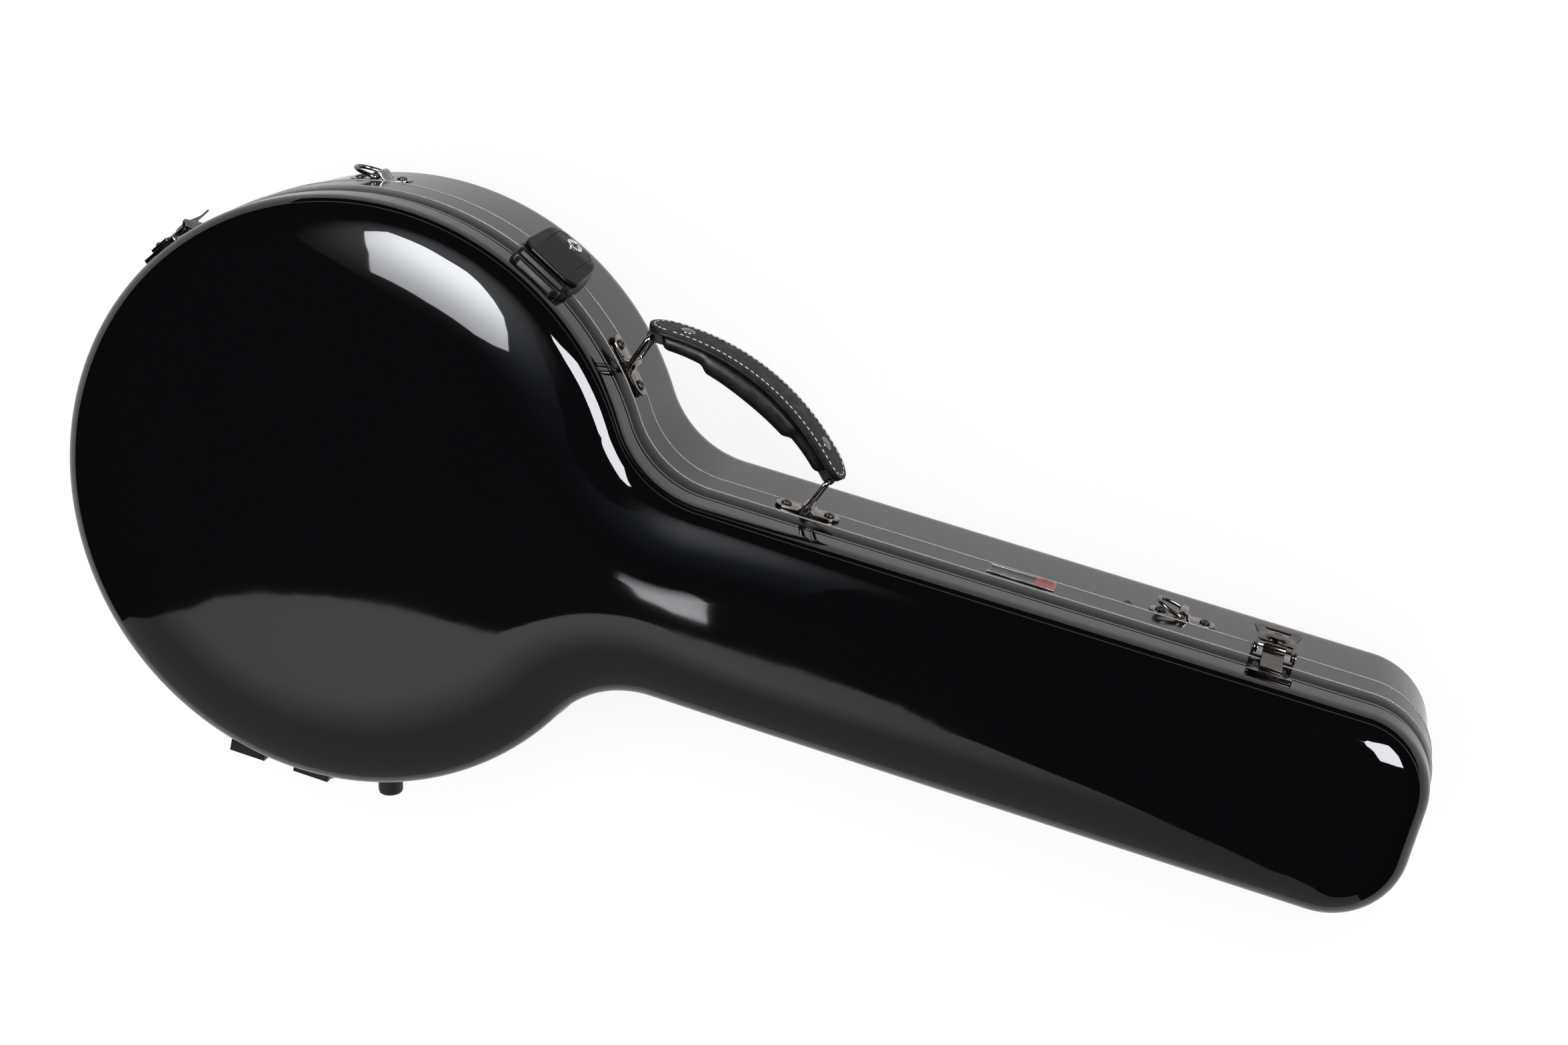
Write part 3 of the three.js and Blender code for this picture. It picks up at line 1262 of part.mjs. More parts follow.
// Lid hinges: two cast leaves each, hollowed to the round wall, on a common straight pin line
const HINGE_CENTRES = [-38, 10];
const HINGE_HALF = 13;
const HINGE_STANDOFF = 3.4;
const KNUCKLE_RADIUS = 2.8;
const HINGE_PIN_RADIUS = 1.2;
const HINGE_LEAF_SHARE = 0.3;
const LOWER_LEAF_LENGTH = 38;
const UPPER_LEAF_LENGTH = 11;
const HINGE_BLOCK_DEPTH = 26;
const WEB_SHARE = 0.8;
const HINGE_Y = -POT_RADIUS - HINGE_STANDOFF;
const HINGE_Z = BAND_TOP_Z + SEAM_GAP / 2;

function hingeLeaf(name, centre, upper) {
  const third = 2 * HINGE_HALF * HINGE_LEAF_SHARE;
  const left = centre - HINGE_HALF;
  const right = centre + HINGE_HALF;
  const faceY = HINGE_Y - KNUCKLE_RADIUS / 2;
  const low = upper ? LID_BASE_Z + FIT : HINGE_Z - LOWER_LEAF_LENGTH;
  const high = upper ? LID_BASE_Z + UPPER_LEAF_LENGTH : BAND_TOP_Z - FIT;
  const plate = union(block(left, right, faceY, HINGE_Y + HINGE_BLOCK_DEPTH, low, high));
  const core = bandCore(upper ? FIT - LID_STEP : LINE_PROUD + FIT, low - CUT_OVERRUN, high + CUT_OVERRUN);
  const barrelRoom = new THREE.CylinderGeometry(
    KNUCKLE_RADIUS + RUNNING_FIT,
    KNUCKLE_RADIUS + RUNNING_FIT,
    2 * HINGE_HALF + CUT_OVERRUN,
    20,
  ).rotateZ(Math.PI / 2).translate(centre, HINGE_Y, HINGE_Z);
  const gap = RUNNING_FIT / 2;
  const spans = upper
    ? [[left + third + gap, right - third - gap]]
    : [[left, left + third - gap], [right - third + gap, right]];
  const knuckles = spans.map(([from, to]) => {
    const barrel = new THREE.CylinderGeometry(KNUCKLE_RADIUS, KNUCKLE_RADIUS, to - from, 16);
    barrel.rotateZ(Math.PI / 2).translate((from + to) / 2, HINGE_Y, HINGE_Z);
    const webLow = upper ? HINGE_Z : high - KNUCKLE_RADIUS * 2;
    const webHigh = upper ? low + KNUCKLE_RADIUS * 2 : HINGE_Z;
    const web = block(from, to, faceY, HINGE_Y + KNUCKLE_RADIUS * WEB_SHARE, webLow, webHigh);
    return [barrel, web];
  });
  const bore = new THREE.CylinderGeometry(
    HINGE_PIN_RADIUS + FIT,
    HINGE_PIN_RADIUS + FIT,
    2 * HINGE_HALF + CUT_OVERRUN,
    12,
  ).rotateZ(Math.PI / 2).translate(centre, HINGE_Y, HINGE_Z);
  const leaf = cut(plate, core, barrelRoom);
  const body = knuckles.flat().reduce((sum, next) => sum.add(toSolid(next)), leaf);
  return pieceMesh(name, toGeometry(cut(body, bore)), 'nickel');
}

function hingePin(name, centre) {
  const pin = new THREE.CylinderGeometry(HINGE_PIN_RADIUS, HINGE_PIN_RADIUS, 2 * HINGE_HALF, 12);
  return pieceMesh(name, pin.rotateZ(Math.PI / 2).translate(centre, HINGE_Y, HINGE_Z), 'nickel');
}

function lidHinges() {
  return HINGE_CENTRES.flatMap((centre, i) => [
    hingeLeaf(`hinge_${i + 1}_base_leaf`, centre, false),
    hingeLeaf(`hinge_${i + 1}_lid_leaf`, centre, true),
    hingePin(`hinge_${i + 1}_pin`, centre),
  ]);
}

// Rubber feet on the edge that the case stands on, a blank badge plate and a small screw
const FOOT_DEG = -76;
const FOOT_LENGTH = 26;
const FOOT_RADIUS = 9.6;
const FOOT_TAPER = 1.1;
const FRONT_FOOT_Z = STRIP_MID_Z;
const REAR_FOOT_Z = 52;
const BADGE_X = 441;
const BADGE_LENGTH = 45;
const BADGE_HEIGHT = 17;
const BADGE_THICKNESS = 0.9;
const BADGE_FRAME = 1.4;
const SHELL_SCREW_X = 510;
const SHELL_SCREW_DROP = 5;

function foot(name, z, seat) {
  const profile = [
    new THREE.Vector2(0, seat + FIT),
    new THREE.Vector2(FOOT_RADIUS, seat + FIT),
    new THREE.Vector2(FOOT_RADIUS, seat + FOOT_TAPER * 2),
    new THREE.Vector2(FOOT_RADIUS - FOOT_TAPER, FOOT_LENGTH - FOOT_TAPER),
    new THREE.Vector2(FOOT_RADIUS - FOOT_TAPER * 2, FOOT_LENGTH),
    new THREE.Vector2(0, FOOT_LENGTH),
  ];
  const place = onPot(FOOT_DEG);
  place.add(pieceMesh(name, new THREE.LatheGeometry(profile, 16).translate(0, 0, z), 'rubber'));
  return place;
}

function badge() {
  const low = STRIP_MID_Z - BADGE_HEIGHT / 2;
  const high = STRIP_MID_Z + BADGE_HEIGHT / 2;
  const half = BADGE_LENGTH / 2;
  const plate = block(-half, half, FIT, FIT + BADGE_THICKNESS, low, high);
  const field = block(
    BADGE_FRAME - half,
    half - BADGE_FRAME,
    FIT + BADGE_THICKNESS / 2,
    FIT + BADGE_THICKNESS + CUT_OVERRUN,
    low + BADGE_FRAME,
    high - BADGE_FRAME,
  );
  const place = onNeck(BADGE_X);
  place.add(pieceMesh('badge_plate', toGeometry(cut(toSolid(plate), field)), 'badge'));
  return place;
}

function shellScrew() {
  const place = onNeck(SHELL_SCREW_X);
  const wall = FIT - BAND_STEP;
  place.add(panScrew('shell_screw', 0, BAND_BASE_Z - SHELL_SCREW_DROP, wall + FIT, wall));
  return place;
}

// The compartment lid turns about its own pin line
function compartment() {
  const turning = new THREE.Group();
  turning.position.set(BOX_PIVOT_X, 0, BOX_PIVOT_Z);
  turning.add(compartmentLid(), compartmentTab());
  return [compartmentBox(), turning];
}

const banjoCase = new THREE.Group();
banjoCase.add(
  rearShell(),
  rimBand(),
  rimSeal(),
  ...baseLinings(),
  neckCradle(),
  pegheadPad(),
  ...compartment(),
  lidShell(),
  locatingRim(),
  ...lidLinings(),
  ...lidHinges(),
  carryingHandle(),
  strapFitting('strap_pot', onPot(POT_RING_DEG)),
  strapFitting('strap_neck', onNeck(NECK_RING_X)),
  drawLatch('pot', onPot(POT_LATCH_DEG)),
  drawLatch('neck', onNeck(NECK_LATCH_X)),
  keyLock(),
  foot('front_foot', FRONT_FOOT_Z, 0),
  foot('rear_foot', REAR_FOOT_Z, -BAND_STEP),
  badge(),
  shellScrew(),
);

export default banjoCase;
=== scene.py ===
"""Banjo case: gloss moulded shells, rim band, metal fittings, leather handle and plush inside."""

import logging
import math
from collections.abc import Callable, Sequence
from dataclasses import dataclass, field
from enum import Enum

import bmesh
import bpy
from mathutils import Matrix, Vector


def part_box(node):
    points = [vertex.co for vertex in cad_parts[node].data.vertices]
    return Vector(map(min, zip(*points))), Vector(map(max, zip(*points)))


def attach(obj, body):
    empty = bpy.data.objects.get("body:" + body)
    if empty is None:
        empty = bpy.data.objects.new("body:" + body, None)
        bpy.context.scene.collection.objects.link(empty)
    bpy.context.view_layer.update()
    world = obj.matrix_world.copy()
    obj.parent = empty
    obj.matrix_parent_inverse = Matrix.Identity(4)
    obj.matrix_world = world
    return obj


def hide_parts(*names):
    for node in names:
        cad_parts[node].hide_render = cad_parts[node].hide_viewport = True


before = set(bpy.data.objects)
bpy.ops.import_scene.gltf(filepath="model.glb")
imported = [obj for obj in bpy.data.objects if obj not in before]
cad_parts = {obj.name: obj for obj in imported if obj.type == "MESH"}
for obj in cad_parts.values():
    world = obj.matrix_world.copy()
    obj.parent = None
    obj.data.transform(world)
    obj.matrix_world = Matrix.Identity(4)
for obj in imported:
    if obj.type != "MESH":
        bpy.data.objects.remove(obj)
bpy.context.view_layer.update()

log = logging.getLogger("banjo_case")
Ring = list[Vector]
Stations = Sequence[tuple[float, float]]
Colour = tuple[float, float, float]
Piece = bpy.types.Object
Socket = bpy.types.NodeSocket
MM = 0.001

# Where the fittings sit: degrees round the pot or metres along the neck, and heights over the back
HANDLE_ON_POT, HANDLE_ON_NECK, HANDLE_Z = 39.6, 0.295, 0.097
STRAP_ON_POT, STRAP_ON_NECK, STRAP_Z = 102.3, 0.546, 0.0745
LOCK_ON_POT, FEET_ON_POT = 62.3, -76
SHELL_SCREW_ON_NECK, SHELL_SCREW_Z, SHELL_SCREW_SEAT = 0.510, 0.079, -0.0014

# How far the edges of the fittings' plates are eased
PLATE_EASE = 0.00035

# The sockets of a colour mix node
MIX_SHARE, MIX_FIRST, MIX_SECOND, MIX_RESULT = 0, 6, 7, 2


class Body(str, Enum):
    """The bodies that pieces ride on."""

    BASE = "base"
    LID = "lid"
    LOOP_POT = "handle_loop_pot"
    LOOP_NECK = "handle_loop_neck"
    GRIP = "handle_grip"
    RING_POT = "strap_ring_pot"
    RING_NECK = "strap_ring_neck"
    KEY = "lock_key"
    CAP = "lock_cap"
    LEVER_POT = "pot_latch_lever"
    LINK_POT = "pot_latch_link"
    LEVER_NECK = "neck_latch_lever"
    LINK_NECK = "neck_latch_link"
    BOX_LID = "compartment_lid"


class Slot(str, Enum):
    """The record's material slots."""

    SHELL = "gloss_shell"
    BAND = "band"
    SEAL = "seal"
    PLUSH = "plush"
    RIBBON = "ribbon"
    RUBBER = "rubber"
    LOCK = "lock_plastic"
    NICKEL = "nickel"
    SCREW = "screw"
    SILVER = "silver"
    LEATHER = "leather"
    BADGE = "badge"


# ---------------------------------------------------------------- finishes


class NodeBoard:
    """A material's node tree with short calls for the nodes that the finishes use."""

    def __init__(self, name: str) -> None:
        """Starts a material with one Principled shader."""
        self.material = bpy.data.materials.new(name)
        self.material.use_nodes = True
        self.tree = self.material.node_tree
        self.shader = self.tree.nodes["Principled BSDF"]
        coords = self.tree.nodes.new("ShaderNodeTexCoord")
        self.object_space = coords.outputs["Object"]

    def node(self, kind: str, **values: object) -> bpy.types.Node:
        """Adds a node and sets its properties or inputs.

        Args:
            kind: Blender's node type.
            **values: properties by name, or inputs by name with underscores for spaces.

        Returns:
            The new node.
        """
        made = self.tree.nodes.new(kind)
        for key, value in values.items():
            if hasattr(made, key):
                setattr(made, key, value)
            else:
                made.inputs[key.replace("_", " ")].default_value = value
        return made

    def link(self, start: Socket, end: Socket) -> None:
        """Joins two sockets."""
        self.tree.links.new(start, end)

    def stretched(self, scale: tuple[float, float, float]) -> Socket:
        """Object coordinates stretched by a scale on each axis."""
        mapping = self.node("ShaderNodeMapping")
        mapping.inputs["Scale"].default_value = scale
        self.link(self.object_space, mapping.inputs["Vector"])
        return mapping.outputs["Vector"]

    def noise(self, scale: float, detail: float = 2.0, at: Socket | None = None) -> Socket:
        """Noise over the object's own coordinates, scale in cells per metre."""
        made = self.node("ShaderNodeTexNoise", Scale=scale, Detail=detail)
        self.link(at or self.object_space, made.inputs["Vector"])
        return made.outputs["Fac"]

    def cells(self, scale: float) -> Socket:
        """Distance to the nearest grain cell, scale in cells per metre."""
        made = self.node("ShaderNodeTexVoronoi", feature="SMOOTH_F1", Scale=scale, Smoothness=0.6)
        self.link(self.object_space, made.inputs["Vector"])
        return made.outputs["Distance"]

    def ramp(self, value: Socket, low: float, high: float, ends: tuple[float, float] = (0.3, 0.7)) -> Socket:
        """A value mapped from a window of the input onto low to high."""
        made = self.node("ShaderNodeMapRange", From_Min=ends[0], From_Max=ends[1], To_Min=low, To_Max=high)
        self.link(value, made.inputs["Value"])
        return made.outputs["Result"]

    def roughen(self, value: Socket, low: float, high: float) -> None:
        """Lets a value drive the roughness from low to high."""
        self.link(self.ramp(value, low, high), self.shader.inputs["Roughness"])

    def blend_colours(
        self, value: Socket, ends: tuple[float, float], first: Colour, second: Colour | None
    ) -> None:
        """Paints the base colour from the first to the second, over a window of the value."""
        mix = self.node("ShaderNodeMix", data_type="RGBA")
        mix.inputs[MIX_FIRST].default_value = (*first, 1)
        mix.inputs[MIX_SECOND].default_value = (*(second or first), 1)
        self.link(self.ramp(value, 0, 1, ends), mix.inputs[MIX_SHARE])
        self.link(mix.outputs[MIX_RESULT], self.shader.inputs["Base Color"])

    def bump(self, height: Socket, strength: float, distance: float) -> None:
        """Raises the surface by a height value, over what is raised already."""
        made = self.node("ShaderNodeBump", Strength=strength, Distance=distance)
        self.link(height, made.inputs["Height"])
        normal = self.shader.inputs["Normal"]
        if normal.is_linked:
            self.link(normal.links[0].from_socket, made.inputs["Normal"])
        self.link(made.outputs["Normal"], normal)


@dataclass(frozen=True)
class Finish:
    """A finish that pieces are dressed in: the numbers that stay the same all over it."""

    name: str
    slot: Slot
    colour: Colour
    roughness: float
    metallic: float = 0.0
    sheen: float = 0.0
    worn: Colour | None = None
    specular: float = 0.5

    def detail(self, board: NodeBoard) -> None:
        """Adds the surface detail of this kind of finish."""

    def make(self) -> bpy.types.Material:
        """The material, made once and shared."""
        known = bpy.data.materials.get(self.name)
        if known is not None:
            return known
        board = NodeBoard(self.name)
        sockets = board.shader.inputs
        sockets["Base Color"].default_value = (*self.colour, 1)
        sockets["Roughness"].default_value = self.roughness
        sockets["Metallic"].default_value = self.metallic
        sockets["Specular IOR Level"].default_value = self.specular
        sockets["Sheen Weight"].default_value = self.sheen
        sockets["Sheen Roughness"].default_value = 0.4
        self.detail(board)
        return board.material


@dataclass(frozen=True)
class MouldedGloss(Finish):
    """Polished moulding: deep black, with faint ripple and settled dust."""

    ripple: float = 0.03
    ripple_scale: float = 55.0
    haze_scale: float = 14.0
    dust_scale: float = 900.0
    dust_window: tuple[float, float] = (0.79, 0.83)

    def detail(self, board: NodeBoard) -> None:
        """Ripple in the polish, roughness that wanders a little, and specks of dust."""
        board.roughen(board.noise(self.haze_scale, 3), self.roughness * 0.8, self.roughness * 1.4)
        board.blend_colours(board.noise(self.dust_scale, 1), self.dust_window, self.colour, self.worn)
        board.bump(board.noise(self.ripple_scale, 1), self.ripple, 0.4 * MM)


@dataclass(frozen=True)
class PlatedMetal(Finish):
    """Plated metal with drawn lines and a soft wander in its shine."""

    lines: tuple[float, float, float] = (260, 260, 2600)
    cloud_scale: float = 120.0

    def detail(self, board: NodeBoard) -> None:
        """Fine drawn lines, cloudy shine and a slightly uneven plate."""
        drawn = board.noise(1, 2, board.stretched(self.lines))
        cloud = board.noise(self.cloud_scale, 2)
        board.roughen(cloud, self.roughness * 0.7, self.roughness * 1.6)
        if self.worn:
            board.blend_colours(cloud, (0.35, 0.75), self.colour, self.worn)
        board.bump(drawn, 0.06, 0.05 * MM)


@dataclass(frozen=True)
class GrainedPlastic(Finish):
    """Moulded plastic or rubber with a fine pebbled grain."""

    grain: float = 1800.0
    depth: float = 0.12
    patch_scale: float = 60.0
    rub_scale: float = 90.0

    def detail(self, board: NodeBoard) -> None:
        """A pebbled grain and rubbed, slightly shinier patches."""
        board.roughen(board.noise(self.patch_scale, 3), self.roughness * 0.85, self.roughness * 1.15)
        if self.worn:
            board.blend_colours(board.noise(self.rub_scale, 4), (0.45, 0.8), self.colour, self.worn)
        board.bump(board.noise(self.grain, 2), self.depth, 0.1 * MM)


@dataclass(frozen=True)
class Pile(Finish):
    """Short plush pile: tufts, brushed clouds and a soft sheen."""

    tufts: float = 1400.0
    cloud_scale: float = 38.0

    def detail(self, board: NodeBoard) -> None:
        """Tufts raised by noise, and clouds where the pile lies another way."""
        cloud = board.noise(self.cloud_scale, 4)
        board.blend_colours(cloud, (0.35, 0.65), self.colour, self.worn)
        board.bump(board.noise(self.tufts, 3), 0.55, 0.5 * MM)
        board.bump(cloud, 0.15, 1.2 * MM)


@dataclass(frozen=True)
class Hide(Finish):
    """Black leather: pebbled grain, pores and patches rubbed paler."""

    pebble: float = 1500.0
    crease_scale: float = 130.0

    def detail(self, board: NodeBoard) -> None:
        """Pebbles by cells, pores by noise, and shine that follows them."""
        pebble = board.cells(self.pebble)
        crease = board.noise(self.crease_scale, 5)
        board.roughen(crease, self.roughness * 0.8, self.roughness * 1.25)
        board.blend_colours(crease, (0.4, 0.72), self.colour, self.worn)
        board.bump(pebble, 0.35, 0.18 * MM)
        board.bump(crease, 0.22, 0.5 * MM)


@dataclass(frozen=True)
class Woven(Finish):
    """Thread or ribbon: fine twisted or crossing yarns."""

    pitch: float = 900.0

    def detail(self, board: NodeBoard) -> None:
        """Two sets of waves that cross, as yarns do."""
        for direction in ("X", "Z"):
            yarns = board.node(
                "ShaderNodeTexWave", bands_direction=direction, Scale=self.pitch, Distortion=0.6
            )
            board.link(board.object_space, yarns.inputs["Vector"])
            board.bump(yarns.outputs["Fac"], 0.5, 0.12 * MM)


class Finishes:
    """Every finish on the case."""

    SHELL = MouldedGloss(
        "shell_gloss_black", Slot.SHELL, (0.0035, 0.0035, 0.0042), 0.03, worn=(0.03, 0.03, 0.034)
    )
    BAND = MouldedGloss(
        "band_satin_black", Slot.BAND, (0.006, 0.006, 0.006), 0.1, worn=(0.02, 0.02, 0.02), ripple=0.015
    )
    BEAD = MouldedGloss(
        "bead_satin_black", Slot.BAND, (0.004, 0.004, 0.004), 0.16, worn=(0.012, 0.012, 0.012), specular=0.28
    )
    # Pale grey on the band's raised lines is a painted highlight: it stands in for the light that catches
    # their rounded shoulders
    LINE_PAINTED_HIGHLIGHT = MouldedGloss(
        "band_line_painted_highlight", Slot.BAND, (0.44, 0.435, 0.43), 0.5, worn=(0.5, 0.49, 0.485), ripple=0.0
    )
    SEAL = GrainedPlastic("seal_rubber", Slot.SEAL, (0.004, 0.004, 0.004), 0.7, grain=900)
    RUBBER = GrainedPlastic(
        "foot_rubber", Slot.RUBBER, (0.011, 0.011, 0.012), 0.55, worn=(0.03, 0.03, 0.031), grain=1500
    )
    LOCK = GrainedPlastic(
        "lock_satin_plastic", Slot.LOCK, (0.0065, 0.0063, 0.0062), 0.36, worn=(0.012, 0.0118, 0.0115),
        specular=0.26, grain=2600,
    )
    PLUSH = Pile(
        "lining_plush", Slot.PLUSH, (0.018, 0.018, 0.021), 0.95, sheen=0.7, worn=(0.034, 0.034, 0.039)
    )
    RIBBON = Woven("tab_ribbon", Slot.RIBBON, (0.012, 0.012, 0.013), 0.45, sheen=0.3)
    NICKEL = PlatedMetal(
        "black_nickel", Slot.NICKEL, (0.20, 0.178, 0.165), 0.14, 1.0, worn=(0.27, 0.24, 0.22)
    )
    LATCH = PlatedMetal(
        "latch_black_nickel", Slot.NICKEL, (0.12, 0.105, 0.10), 0.16, 1.0, worn=(0.17, 0.15, 0.14)
    )
    HINGE = PlatedMetal(
        "hinge_black", Slot.NICKEL, (0.018, 0.0175, 0.017), 0.34, 0.5, worn=(0.03, 0.029, 0.028)
    )
    SCREW = PlatedMetal("dark_screw", Slot.SCREW, (0.07, 0.064, 0.06), 0.24, 1.0, worn=(0.12, 0.11, 0.1))
    SILVER = PlatedMetal(
        "bright_key_ring", Slot.SILVER, (0.78, 0.78, 0.77), 0.2, 1.0, worn=(0.86, 0.86, 0.86)
    )
    LEATHER = Hide(
        "strap_leather", Slot.LEATHER, (0.0085, 0.0078, 0.0076), 0.5, worn=(0.018, 0.0168, 0.0162),
        specular=0.2,
    )
    ROLL = Hide(
        "roll_leather", Slot.LEATHER, (0.004, 0.004, 0.0042), 0.36, worn=(0.01, 0.01, 0.01), specular=0.3,
        pebble=2200,
    )
    THREAD = Woven("stitch_thread", Slot.LEATHER, (0.86, 0.85, 0.83), 0.7, sheen=0.4, pitch=1400)
    BADGE_FRAME = PlatedMetal("badge_frame", Slot.BADGE, (0.62, 0.6, 0.58), 0.28, 1.0, worn=(0.5, 0.49, 0.48))
    BADGE_FIELD = GrainedPlastic("badge_field", Slot.BADGE, (0.02, 0.02, 0.021), 0.3)
    BADGE_RED = GrainedPlastic("badge_red", Slot.BADGE, (0.44, 0.05, 0.045), 0.32)


# ---------------------------------------------------------------- the bench


class Bench:
    """Modelling as by hand: one object at a time, shaped in edit mode."""

    @staticmethod
    def clear() -> None:
        """Leaves edit mode and deselects everything."""
        if bpy.context.object is not None and bpy.context.object.mode != "OBJECT":
            bpy.ops.object.mode_set(mode="OBJECT")
        bpy.ops.object.select_all(action="DESELECT")

    @staticmethod
    def take(piece: Piece) -> Piece:
        """Makes one piece the only selected and active object."""
        Bench.clear()
        piece.select_set(True)
        bpy.context.view_layer.objects.active = piece
        return piece

    @staticmethod
    def named(name: str) -> Piece:
        """Names the object that an operator has just added."""
        made = bpy.context.object
        made.name = name
        made.data.name = name
        return made

    @staticmethod
    def edit(piece: Piece, select: bool = True) -> None:
        """Opens a piece in edit mode with all or nothing selected."""
        Bench.take(piece)
        bpy.ops.object.mode_set(mode="EDIT")
        bpy.ops.mesh.select_mode(type="VERT")
        bpy.ops.mesh.select_all(action="SELECT" if select else "DESELECT")

    @staticmethod
    def close(piece: Piece, weld: float = 0.000001) -> Piece:
        """Welds double points, turns every face outward and leaves edit mode."""
        bpy.ops.mesh.select_mode(type="VERT")
        bpy.ops.mesh.select_all(action="SELECT")
        bpy.ops.mesh.remove_doubles(threshold=weld)
        bpy.ops.mesh.normals_make_consistent(inside=False)
        bpy.ops.object.mode_set(mode="OBJECT")
        return piece

    @staticmethod
    def smooth(piece: Piece, degrees: float = 32) -> Piece:
        """Smooth shading that breaks at sharp edges."""
        Bench.take(piece)
        bpy.ops.object.shade_smooth_by_angle(angle=math.radians(degrees))
        return piece

    @staticmethod
    def apply(piece: Piece, kind: str, **values: object) -> Piece:
        """Adds a modifier, sets it and applies it.

        Args:
            piece: the object that it changes.
            kind: Blender's modifier type.
            **values: the modifier's settings by name.

        Returns:
            The same piece.
        """
        Bench.take(piece)
        bpy.ops.object.modifier_add(type=kind)
        made = piece.modifiers[-1]
        for key, value in values.items():
            setattr(made, key, value)
        bpy.ops.object.modifier_apply(modifier=made.name)
        return piece

    @staticmethod
    def cut(piece: Piece, *cutters: Piece) -> None:
        """Takes each cutter's shape out of a piece and throws the cutter away."""
        for cutter in cutters:
            Bench.apply(piece, "BOOLEAN", object=cutter, operation="DIFFERENCE", solver="EXACT")
            bpy.data.objects.remove(cutter, do_unlink=True)

    @staticmethod
    def loft(name: str, rings: Sequence[Ring], closed: bool = False) -> Piece:
        """Extrudes a loop of edges from ring to ring.

        Args:
            name: the piece's name.
            rings: places of equal count, in order.
            closed: whether the last ring joins the first, instead of a cap at each end.

        Returns:
            The closed piece.
        """
        Bench.clear()
        count = len(rings[0])
        bpy.ops.mesh.primitive_circle_add(vertices=count, radius=0.1)
        piece = Bench.named(name)
        Bench.edit(piece)
        mesh = bmesh.from_edit_mesh(piece.data)
        mesh.verts.ensure_lookup_table()
        for point, place in zip(mesh.verts, rings[0]):
            point.co = place
        order = {i: i for i in range(count)}
        for ring in [*rings[1:], *([rings[0]] if closed else [])]:
            bmesh.update_edit_mesh(piece.data)
            bpy.ops.mesh.extrude_edges_move()
            mesh = bmesh.from_edit_mesh(piece.data)
            mesh.verts.index_update()
            raised: dict[int, int] = {}
            for point in mesh.verts:
                if point.select:
                    mates = [e.other_vert(point).index for e in point.link_edges]
                    raised[point.index] = next(order[m] for m in mates if m in order)
                    point.co = ring[raised[point.index]]
            order = raised
        bmesh.update_edit_mesh(piece.data)
        if not closed:
            bpy.ops.mesh.edge_face_add()
            bpy.ops.mesh.select_all(action="DESELECT")
            mesh = bmesh.from_edit_mesh(piece.data)
            mesh.verts.ensure_lookup_table()
            for i in range(count):
                mesh.verts[i].select = True
            mesh.select_flush(True)
            bmesh.update_edit_mesh(piece.data)
            bpy.ops.mesh.edge_face_add()
        return Bench.close(piece)

    @staticmethod
    def turn(name: str, profile: Stations, steps: int = 48) -> Piece:
        """Turns a profile about Z, as on a lathe.

        Args:
            name: the piece's name.
            profile: radius and height of each corner, from one end of the axis to the other.
            steps: facets in a full turn.

        Returns:
            The turned piece at the origin.
        """
        Bench.clear()
        bpy.ops.mesh.primitive_plane_add(size=MM)
        piece = Bench.named(name)
        Bench.edit(piece)
        bpy.ops.mesh.merge(type="CENTER")
        mesh = bmesh.from_edit_mesh(piece.data)
        mesh.verts.ensure_lookup_table()
        mesh.verts[0].co = (profile[0][0], 0, profile[0][1])
        bmesh.update_edit_mesh(piece.data)
        for (r0, h0), (r1, h1) in zip(profile, profile[1:]):
            bpy.ops.mesh.extrude_vertices_move(TRANSFORM_OT_translate={"value": (r1 - r0, 0, h1 - h0)})
        bpy.ops.mesh.select_all(action="SELECT")
        bpy.ops.mesh.spin(steps=steps, angle=2 * math.pi, center=(0, 0, 0), axis=(0, 0, 1))
        return Bench.close(piece, weld=0.00002)

    @staticmethod
    def wire(name: str, path: Ring, radius: float, cyclic: bool = True) -> Piece:
        """A round wire along a path, converted from a curve to a mesh."""
        Bench.clear()
        curve = bpy.data.curves.new(name, "CURVE")
        curve.dimensions = "3D"
        spline = curve.splines.new("POLY")
        spline.points.add(len(path) - 1)
        for point, place in zip(spline.points, path):
            point.co = (*place, 1)
        spline.use_cyclic_u = cyclic
        curve.bevel_depth = radius
        curve.bevel_resolution = 5
        curve.use_fill_caps = not cyclic
        piece = bpy.data.objects.new(name, curve)
        bpy.context.collection.objects.link(piece)
        Bench.take(piece)
        bpy.ops.object.convert(target="MESH")
        piece = bpy.context.object
        piece.name = name
        Bench.edit(piece)
        Bench.close(piece)
        return Bench.smooth(piece, 60)

    @staticmethod
    def put(piece: Piece, place: Matrix) -> Piece:
        """Moves the mesh itself, so that the object stays at the origin."""
        piece.data.transform(place)
        piece.data.update()
        return piece

    @staticmethod
    def copy(piece: Piece, name: str, place: Matrix) -> Piece:
        """A copy with its own mesh, moved to its place."""
        made = bpy.data.objects.new(name, piece.data.copy())
        bpy.context.collection.objects.link(made)
        return Bench.put(made, place)

    @staticmethod
    def from_frame(node: str, suffix: str, bevel: float, segments: int = 2) -> Piece:
        """A finer copy of a solid of the frame: merged, its flat faces joined and its edges eased.

        Args:
            node: the solid's name.
            suffix: what the new piece's name adds to it.
            bevel: how far the edges are eased, in metres.
            segments: facets across an eased edge.

        Returns:
            The new piece, which replaces the solid.
        """
        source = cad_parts[node]
        made = bpy.data.objects.new(f"{node}_{suffix}", source.data.copy())
        bpy.context.collection.objects.link(made)
        made.data.transform(source.matrix_world)
        made.data.materials.clear()
        Bench.edit(made)
        bpy.ops.mesh.remove_doubles(threshold=0.000002)
        bpy.ops.mesh.dissolve_limited(angle_limit=math.radians(0.6))
        Bench.close(made)
        if bevel:
            Bench.apply(
                made,
                "BEVEL",
                width=bevel,
                segments=segments,
                limit_method="ANGLE",
                angle_limit=math.radians(28),
                use_clamp_overlap=True,
                harden_normals=False,
            )
        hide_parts(node)
        return Bench.smooth(made, 34)

